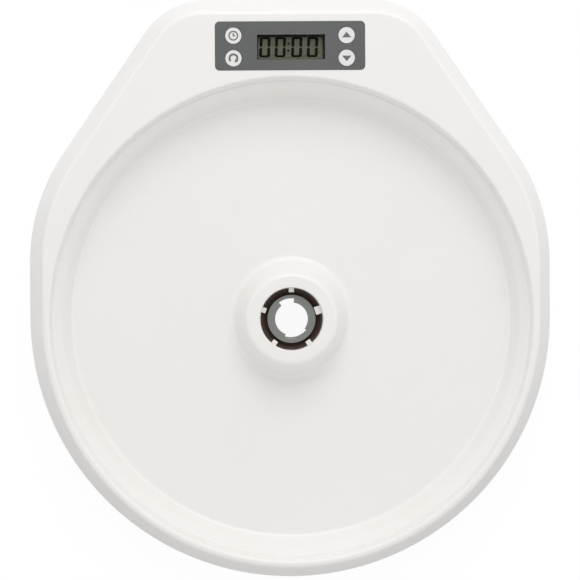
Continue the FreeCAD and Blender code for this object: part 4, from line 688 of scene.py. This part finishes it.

# %% [markdown]
# ## Display
# The display is a reflective liquid crystal: an olive-grey cell whose dark digits are driven from the
# board below. In the real cell the segments are a film inside the glass. Here they are a thin layer on it,
# under the clear pane, which looks the same and stays readable from the side. Each digit is six bars of a
# seven-segment figure with pointed ends, set slightly aslant, and a dark border, the cell's seal, frames
# the active area. The field inside it is shifted left and forwards, so the border shows as a dark strip
# along the
# top and the right of the window: painted shade where the window's edges shade the cell.

# %% Digits, colon and border
GLASS_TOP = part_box("lcd_glass")[1].z / MM
INK = 0.04
DIGIT_HEIGHT = 12.0
DIGIT_WIDTH = 6.45
UPRIGHT = 1.7
LEVEL = 1.25
SEGMENT_GAP = 0.18
DIGIT_SPOTS = [-15.6, -6.4, 3.36, 12.7]
COLON_SPOT = -1.64
DIGIT_SLANT = math.radians(2.5)
# A bar is trimmed at its ends, and its corners are cut off by this share of its width.
LEVEL_TRIM = 0.5
UPRIGHT_TRIM = 0.35
UPRIGHT_INSET = 0.05
LEVEL_POINT = 0.42
UPRIGHT_POINT = 0.3
LEVEL_INK = INK * 0.7
DOT_RADIUS = 0.7
DOT_BACK = 2.1
BORDER_WIDTH = 45.6
BORDER_DEPTH = 19.6
FIELD_WIDTH = 38.2
FIELD_DEPTH = 12.9
# The field is shifted so that the dark border shows along the top and right of the window: painted shade.
FIELD_MIDDLE = (WINDOW_MIDDLE[0] - 0.5, WINDOW_MIDDLE[1] - 0.6)
BORDER_CORNER = 0.4
BORDER_ROOT = 0.1


def bar(length, stroke, point, middle, turned):
    """One segment: a flat bar with pointed ends. Level bars are thinner, so that no tops coincide."""
    height = INK if turned else LEVEL_INK
    bm = block(length, stroke, height)
    rounded(bm, upright_edges(bm), point, 1)
    return shift(turned_by(bm, 90 if turned else 0), (*middle, height / 2))


def zero(middle):
    """The six lit bars of a nought."""
    level = DIGIT_WIDTH - 2 * SEGMENT_GAP - LEVEL_TRIM
    upright = DIGIT_HEIGHT / 2 - SEGMENT_GAP - UPRIGHT_TRIM
    across = (DIGIT_WIDTH - UPRIGHT) / 2
    along = DIGIT_HEIGHT / 4 - UPRIGHT_INSET
    bars = [bar(level, LEVEL, LEVEL * LEVEL_POINT, (middle, side * (DIGIT_HEIGHT - LEVEL) / 2), False)
            for side in (-1, 1)]
    bars += [bar(upright, UPRIGHT, UPRIGHT * UPRIGHT_POINT, (middle + side * across, end * along), True)
             for side in (-1, 1) for end in (-1, 1)]
    return bars


shapes = [shape for middle in DIGIT_SPOTS for shape in zero(middle)]
shapes += [stub(DOT_RADIUS, 0, INK, (COLON_SPOT, back), 24) for back in (-DOT_BACK, DOT_BACK)]
digits = several(shapes)
slanted = Matrix.Identity(3)
slanted[0][1] = math.tan(DIGIT_SLANT)
bmesh.ops.transform(digits, matrix=slanted.to_4x4(), verts=digits.verts)
shift(digits, (*WINDOW_MIDDLE, GLASS_TOP))

# Liquid crystal segments: a black dye with the satin of the polariser on top.
segment_black = moulded("crystal_segment_black", "#090a06", "#070805", 0.5, 0.5, ior=1.15)
finish_piece(digits, "display_digits", segment_black, "base", "display")

# The border of the cell: polariser over the black seal, darker than the field but not black. The strip of
# it that shows along the top and the right of the window is also painted shade, where the window's edges
# shade the cell.
seal_and_painted_shade = moulded("display_seal_black", "#2c2d24", "#26271f", 0.4, 0.5, ior=1.2)
border = rounded_block(
    BORDER_WIDTH, BORDER_DEPTH, BORDER_CORNER, GLASS_TOP - BORDER_ROOT, GLASS_TOP + INK, WINDOW_MIDDLE)
field = rounded_block(FIELD_WIDTH, FIELD_DEPTH, BORDER_CORNER, GLASS_TOP - 1, GLASS_TOP + 1, FIELD_MIDDLE)
border = carve(to_object(border, "border"), field)
finish_piece(from_object(border), "display_border", seal_and_painted_shade, "base", "display")

# %% [markdown]
# ## Keys
# Each key is a turned cap with a shallow dish for the fingertip and a flange that keeps it from falling
# out. The symbols are printed on: two arrows, a turning arrow, and a clock face on the key that sets the
# time. They ride with their keys, because a key moves when it is pressed.

# %% Key caps and their symbols
KEY_TOP = 52.0
KEY_RADIUS = 4.85
FLANGE_RADIUS = 6.2
FLANGE_BOTTOM = 48.2
FLANGE_TOP = 49.3
DISH = 0.14
PRINT_BOTTOM = 51.8
PRINT_TOP = 51.96
PRINT_HEIGHT = PRINT_TOP - PRINT_BOTTOM
WEDGE_THINNING = 0.9
KEY_STEPS = 64
BAND_STEPS = 40


def turned(points, centre):
    """A solid of revolution about an upright axis through centre, from (radius, height, rounding)."""
    return shift(spun(points, KEY_STEPS), Vector((*centre, 0)) - HUB)


def arc_band(radius, stroke, start, degrees):
    """A flat curved band about the origin. One upright face at the start angle is spun round."""
    bm = bmesh.new()
    bmesh.ops.create_grid(bm, x_segments=1, y_segments=1, size=0.5)
    bmesh.ops.scale(bm, vec=(stroke, PRINT_HEIGHT, 1), verts=bm.verts)
    shift(turned_by(bm, 90, "X"), (radius, 0, 0))
    turned_by(bm, start)
    full = degrees == 360
    if full:
        bmesh.ops.delete(bm, geom=bm.faces[:], context="FACES_ONLY")
    bmesh.ops.spin(bm, geom=bm.verts[:] + bm.edges[:] + bm.faces[:], cent=(0, 0, 0), axis=(0, 0, 1),
                   dvec=(0, 0, 0), angle=math.radians(degrees), steps=BAND_STEPS, use_merge=full,
                   use_duplicate=False)
    if not full:
        bmesh.ops.holes_fill(bm, edges=[edge for edge in bm.edges if edge.is_boundary], sides=4)
    return bm


def wedge(radius, stretch, degrees, middle):
    """A flat triangle that points along the given direction, a little thinner than a band."""
    bm = bmesh.new()
    bmesh.ops.create_cone(bm, cap_ends=True, segments=3, radius1=radius, radius2=radius, depth=PRINT_HEIGHT)
    # The operator's first corner points along Y, and a quarter turn brings it to X.
    turned_by(bm, -90)
    bmesh.ops.scale(bm, vec=(*stretch, WEDGE_THINNING), verts=bm.verts)
    return shift(turned_by(bm, degrees), (*middle, 0))


def hand(start, end, width, degrees):
    """A clock hand between two distances from the centre."""
    bm = shift(block(end - start, width, PRINT_HEIGHT), ((start + end) / 2, 0, 0))
    return turned_by(bm, degrees)


SYMBOLS = {
    "clock": [arc_band(2.55, 0.75, 0, 360), hand(-0.35, 1.55, 0.7, 90), hand(0.34, 1.15, 0.66, 0)],
    "turn": [arc_band(2.35, 1.15, -30, 256), wedge(1.35, (1.0, 1.0), 228, (1.65, -1.5))],
    "up": [wedge(3.2, (0.68, 1.0), 90, (0, -0.2))],
    "down": [wedge(3.2, (0.68, 1.0), -90, (0, 0.2))],
}

# Key caps: ABS moulded in a polished tool, slightly greyer and glossier than the housing.
polished_abs = moulded("polished_white_abs", "#ecebea", "#e8e7e6", 0.26, 0.9)
# Pad-printed ink: mid grey and matt.
grey_ink = moulded("grey_pad_print", "#6f6f6e", "#6a6a69", 0.55, 0.4)
for name, spot in KEY_SPOTS.items():
    cap = turned([
        (0, FLANGE_BOTTOM, 0), (FLANGE_RADIUS, FLANGE_BOTTOM, 0.1), (FLANGE_RADIUS, FLANGE_TOP, 0.1),
        (KEY_RADIUS, FLANGE_TOP, 0), (KEY_RADIUS, KEY_TOP, 0.35), (4.1, KEY_TOP, 0),
        (2.7, KEY_TOP - DISH * 0.62, 0), (1.3, KEY_TOP - DISH * 0.93, 0), (0, KEY_TOP - DISH, 0)], spot)
    finish_piece(cap, "key_cap_" + name, polished_abs, "key_" + name, "key_plastic", "button_" + name)
    ink = shift(several(SYMBOLS[name]), (*spot, (PRINT_TOP + PRINT_BOTTOM) / 2))
    finish_piece(ink, "symbol_" + name, grey_ink, "key_" + name, "film_grey")

# %% [markdown]
# ## Drive collar
# The dark collar that turns the tray is a solid of the CAD model, but its top is seen in a gap a few
# millimetres wide, and what is seen there is a funnel: its far side lies in shade and its near side
# catches the light. A copy of the node is merged, and a turned cutter gives it that funnel.

# %% Collar with a funnel
FUNNEL_DEEP = 37.2
FUNNEL_TOP = 41.0
FUNNEL_WIDE = 17.5
FUNNEL_NARROW = 15.0
COLLAR_BORE = 14.2

collar_mesh = NODES["drive_tube"].data.copy()
collar_shape = bmesh.new()
collar_shape.from_mesh(collar_mesh)
bpy.data.meshes.remove(collar_mesh)
bmesh.ops.scale(collar_shape, vec=(1 / MM, 1 / MM, 1 / MM), verts=collar_shape.verts)
collar = to_object(tidy_solid(collar_shape), "collar")
carve(collar, spun([
    (COLLAR_BORE, FUNNEL_DEEP, 0), (COLLAR_BORE, FUNNEL_TOP + 2, 0), (FUNNEL_WIDE, FUNNEL_TOP + 2, 0),
    (FUNNEL_WIDE, FUNNEL_TOP, 0), (FUNNEL_NARROW, FUNNEL_DEEP, 0), (COLLAR_BORE, FUNNEL_DEEP, 0)], 128))
finish_piece(from_object(collar), "drive_collar", brown_acetal, "drive", "dark_brown", "drive_tube")

# %% [markdown]
# ## Battery cells
# Four cells lie in the bay, two in each row, and the rows face opposite ways so that the springs of one
# row press on flat ends. A cell is a steel can in a printed shrink sleeve that folds over its ends, with
# the bare nub and the bare base showing. The sleeves here are plain, in two colours.

# %% Cells with their sleeves
CELL_RADIUS = 7.25
CELL_LENGTH = 49.2
NUB_RADIUS = 2.7
NUB_LENGTH = 1.3
BASE_RADIUS = 4.6
FOLD_RADIUS = 5.6
SLEEVE = 0.2
CAN_RADIUS = CELL_RADIUS - 0.25
SLEEVE_END = CELL_LENGTH - 0.1
CAN_END = CELL_LENGTH - 0.5
NUB_END = CELL_LENGTH + NUB_LENGTH
BAND_START = 37.37
CELL_HEIGHT = 11.95
CELL_ROWS = {120.5: 1, 135.2: -1}
CELL_STEPS = 48
LOWEST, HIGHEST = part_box("battery_cells")


def lying(points, start, back, facing):
    """A solid of revolution along X from (radius, length, rounding), facing +X or -X."""
    bm = turned_by(shift(spun(points, CELL_STEPS), -HUB), 90, "Y")
    if facing < 0:
        turned_by(bm, 180)
    return shift(bm, (start, back, CELL_HEIGHT))


sleeves, cans = [], []
for back, facing in CELL_ROWS.items():
    for start in (LOWEST.x / MM, 0.0) if facing > 0 else (HIGHEST.x / MM, 0.0):
        sleeves.append(lying([
            (BASE_RADIUS, 0, 0), (CELL_RADIUS, 0, 0.6), (CELL_RADIUS, SLEEVE_END, 0.7),
            (FOLD_RADIUS, SLEEVE_END, 0), (FOLD_RADIUS, SLEEVE_END - 0.3, 0),
            (CELL_RADIUS - SLEEVE, SLEEVE_END - 0.3, 0), (CELL_RADIUS - SLEEVE, 0.25, 0),
            (BASE_RADIUS, 0.25, 0), (BASE_RADIUS, 0, 0)], start, back, facing))
        cans.append(lying([
            (0, 0.1, 0), (BASE_RADIUS - 0.1, 0.1, 0), (BASE_RADIUS - 0.1, 0.3, 0), (CAN_RADIUS, 0.3, 0.5),
            (CAN_RADIUS, CAN_END, 0.8), (NUB_RADIUS + 1.2, CAN_END, 0.3), (NUB_RADIUS, CAN_END + 0.3, 0.2),
            (NUB_RADIUS, NUB_END, 0.4), (0, NUB_END, 0)], start, back, facing))

# PVC shrink sleeve, printed: glossy slate, with a pale band near both outer ends of the bay.
printed_sleeve, tree = start_material("printed_pvc_sleeve")
where = add(tree, "TexCoord").outputs["Object"]
along = add(tree, "SeparateXYZ", {0: where})
side = add(tree, "Math", {0: along.outputs["X"]}, operation="ABSOLUTE")
band = add(tree, "Math", {0: side.outputs[0], 1: BAND_START * MM}, operation="GREATER_THAN")
colour = add(tree, "ValToRGB", {0: band.outputs[0]})
colour.color_ramp.elements[0].color = linear("#41606b")
colour.color_ramp.elements[1].color = linear("#c9ccc6")
shine = add(tree, "TexNoise", {"Vector": where, "Scale": per_mm(6), "Detail": 2.0})
polish = add(tree, "MapRange", {"Value": shine.outputs["Fac"], "To Min": 0.2, "To Max": 0.32})
shader = add(tree, "BsdfPrincipled", {"Base Color": colour.outputs["Color"], "Roughness": polish.outputs[0],
                                      "IOR": 1.53})
add(tree, "OutputMaterial", {"Surface": shader.outputs["BSDF"]})
print("cells:", len(cans))

# %% [markdown]
# ## Metals
# Metals mirror their surroundings, so their finish is in how they were made: drawn wire and turned shafts
# carry fine lines round their axis, rolled sheet carries lines along it, and zinc plating is slightly
# cloudy. One function stretches a noise along the lines, and lets it vary the gloss and the height.

# %% Function for metals
LINE_DEPTH = 0.004
LINE_STRENGTH = 0.3
LINE_SHINE = 0.06
LINE_DULLNESS = 0.08


def metal(name, colour, roughness, line_mm, stretch=(1.0, 1.0, 1.0)):
    """Bare or plated metal. stretch thins the pattern along an axis, which draws it out into lines."""
    material, tree = start_material(name)
    where = add(tree, "TexCoord").outputs["Object"]
    drawn = add(tree, "Mapping", {"Vector": where, "Scale": stretch})
    lines = add(tree, "TexNoise", {"Vector": drawn.outputs[0], "Scale": per_mm(line_mm), "Detail": 3.0})
    polish = add(tree, "MapRange", {
        "Value": lines.outputs["Fac"], "From Min": NOISE_LOW, "From Max": NOISE_HIGH,
        "To Min": roughness - LINE_SHINE, "To Max": roughness + LINE_DULLNESS})
    bump = add(tree, "Bump", {
        "Height": lines.outputs["Fac"], "Strength": LINE_STRENGTH, "Distance": LINE_DEPTH * MM})
    shader = add(tree, "BsdfPrincipled", {
        "Base Color": linear(colour), "Metallic": 1.0, "Roughness": polish.outputs[0],
        "Normal": bump.outputs["Normal"]})
    add(tree, "OutputMaterial", {"Surface": shader.outputs["BSDF"]})
    return material


# Steel, nickel plated after forming: a warm, bright silver with soft blotches.
nickel_steel = metal("nickel_plated_steel", "#cfcac0", 0.28, 1.2)
finish_nodes(nickel_steel, "contact_plates", "front_spring", "rear_spring")
finish_piece(several(sleeves), "cell_sleeves", printed_sleeve, "base", "cell_wrap", "battery_cells")
finish_piece(several(cans), "cell_cans", nickel_steel, "base", "steel")
# Steel shafts, ground: fine rings round an upright axis, so the noise is drawn out across it.
ground_steel = metal("ground_steel", "#bdbfc2", 0.22, 0.4, (0.05, 0.05, 1.0))
finish_nodes(ground_steel, "gear_axles", "motor_shaft")
# Steel screws, zinc plated and passivated: bluish, slightly cloudy.
zinc_screw = metal("passivated_zinc", "#c3c8cf", 0.34, 0.8)
finish_nodes(zinc_screw, "housing_screws", "gearbox_screws", "board_screws", "bay_screws")
# Motor can: deep-drawn steel sheet, zinc plated, with draw lines up its side.
drawn_can = metal("drawn_zinc_plated_can", "#b9bcc0", 0.3, 0.5, (1.0, 1.0, 0.06))
finish_nodes(drawn_can, "motor_can")
# Motor pinion: turned brass, yellow and bright.
turned_brass = metal("turned_brass", "#d8b46a", 0.25, 0.4, (0.1, 0.1, 1.0))
finish_nodes(turned_brass, "motor_pinion")
print("metals:", [m.name for m in (nickel_steel, ground_steel, zinc_screw, drawn_can, turned_brass)])

# %% [markdown]
# ## Plastics and rubbers inside
# The same function for moulded plastic serves the gears, the gearbox, the display's holder, the feet and
# the insulation of the leads. What differs is colour, gloss and grain: acetal is milky and waxy, nylon with
# glass fibres is dull, silicone and thermoplastic rubber are matt, and PVC insulation is smooth.

# %% Plastics, rubbers and insulation
INSIDE = {
    # Natural acetal, milky white: gears and the key plungers.
    ("milky_acetal", "#ebe8df", "#e4e0d5", 0.38, 0.8): [
        "ring_gear", "final_gear", "first_gear",
        "plunger_clock", "plunger_turn", "plunger_up", "plunger_down"],
    # ABS in light grey: the gearbox plate.
    ("light_grey_abs", "#a9acae", "#a2a5a7", 0.45, 0.9): ["gearbox_plate"],
    # Nylon with glass fibres, black: motor end cap, switches and the sensor's case.
    ("black_glass_nylon", "#1d1d1f", "#242427", 0.5, 0.6): [
        "motor_cap", "tact_switches", "position_sensor"],
    # Epoxy moulding compound, black and slightly sparkling: chips and capacitors.
    ("black_epoxy", "#202124", "#2a2b2e", 0.42, 0.4): ["controller_chip", "board_components"],
    # Polycarbonate, white: the display's holder, a little translucent in life.
    ("white_polycarbonate", "#e6e8e8", "#dfe2e2", 0.3, 0.9): ["lcd_holder"],
    # Thermoplastic rubber, mid grey and matt: feet.
    ("grey_rubber", "#4c4d4f", "#454648", 0.75, 0.7): ["rubber_feet"],
    # PVC insulation, extruded: smooth, with a soft gloss.
    ("red_pvc", "#a51f1c", "#961a18", 0.35, 1.5): ["battery_lead_red", "motor_lead_red"],
    ("black_pvc", "#18181a", "#202022", 0.35, 1.5): ["battery_lead_black", "motor_lead_black"],
    ("grey_pvc", "#8b8d90", "#838588", 0.38, 1.5): ["sensor_cable"],
}
for (name, colour, shade, roughness, grain_mm), names in INSIDE.items():
    finish_nodes(moulded(name, colour, shade, roughness, grain_mm), *names)
print("inside plastics:", len(INSIDE))

# %% [markdown]
# ## Circuit board and zebra strips
# A circuit board is green because of its solder mask, and the copper tracks below show through it as paler
# lines. A brick pattern of 1.27 mm lanes, half of a chip's pin spacing, draws them. The zebra strips
# that join the display to the board are rubber with conducting layers every 0.18 mm. They are drawn six
# times as coarse, as dark and pale layers of 0.54 mm each, so that they can be seen.

# %% Board and strips
LANE_MM = 1.27
TRACK_MM = 0.035
LAYER_MM = 0.54

solder_mask, tree = start_material("green_solder_mask")
where = add(tree, "TexCoord").outputs["Object"]
lanes = add(tree, "TexBrick", {
    "Vector": where, "Scale": per_mm(LANE_MM * 4), "Mortar Size": 0.05, "Mortar Smooth": 0.2,
    "Brick Width": 1.6, "Row Height": 0.25, "Color1": linear("#1f6a3a"), "Color2": linear("#1b6034"),
    "Mortar": linear("#38874f")})
bump = add(tree, "Bump", {"Height": lanes.outputs["Fac"], "Strength": 0.4, "Distance": TRACK_MM * MM})
shader = add(tree, "BsdfPrincipled", {
    "Base Color": lanes.outputs["Color"], "Roughness": 0.3, "IOR": 1.55, "Normal": bump.outputs["Normal"]})
add(tree, "OutputMaterial", {"Surface": shader.outputs["BSDF"]})
finish_nodes(solder_mask, "control_board", "sensor_board")

zebra_rubber, tree = start_material("zebra_silicone")
where = add(tree, "TexCoord").outputs["Object"]
layers = add(tree, "TexWave", {"Vector": where, "Scale": per_mm(LAYER_MM * 20 / math.pi)},
             wave_type="BANDS", bands_direction="X")
tone = add(tree, "ValToRGB", {0: layers.outputs["Fac"]})
tone.color_ramp.elements[0].color = linear("#26262a")
tone.color_ramp.elements[1].color = linear("#c9a9a6")
shader = add(tree, "BsdfPrincipled", {"Base Color": tone.outputs["Color"], "Roughness": 0.6, "IOR": 1.41})
add(tree, "OutputMaterial", {"Surface": shader.outputs["BSDF"]})
finish_nodes(zebra_rubber, "zebra_strips")
print("nodes with a finish of their own:", sum(len(node.data.materials) == 1 for node in NODES.values()))
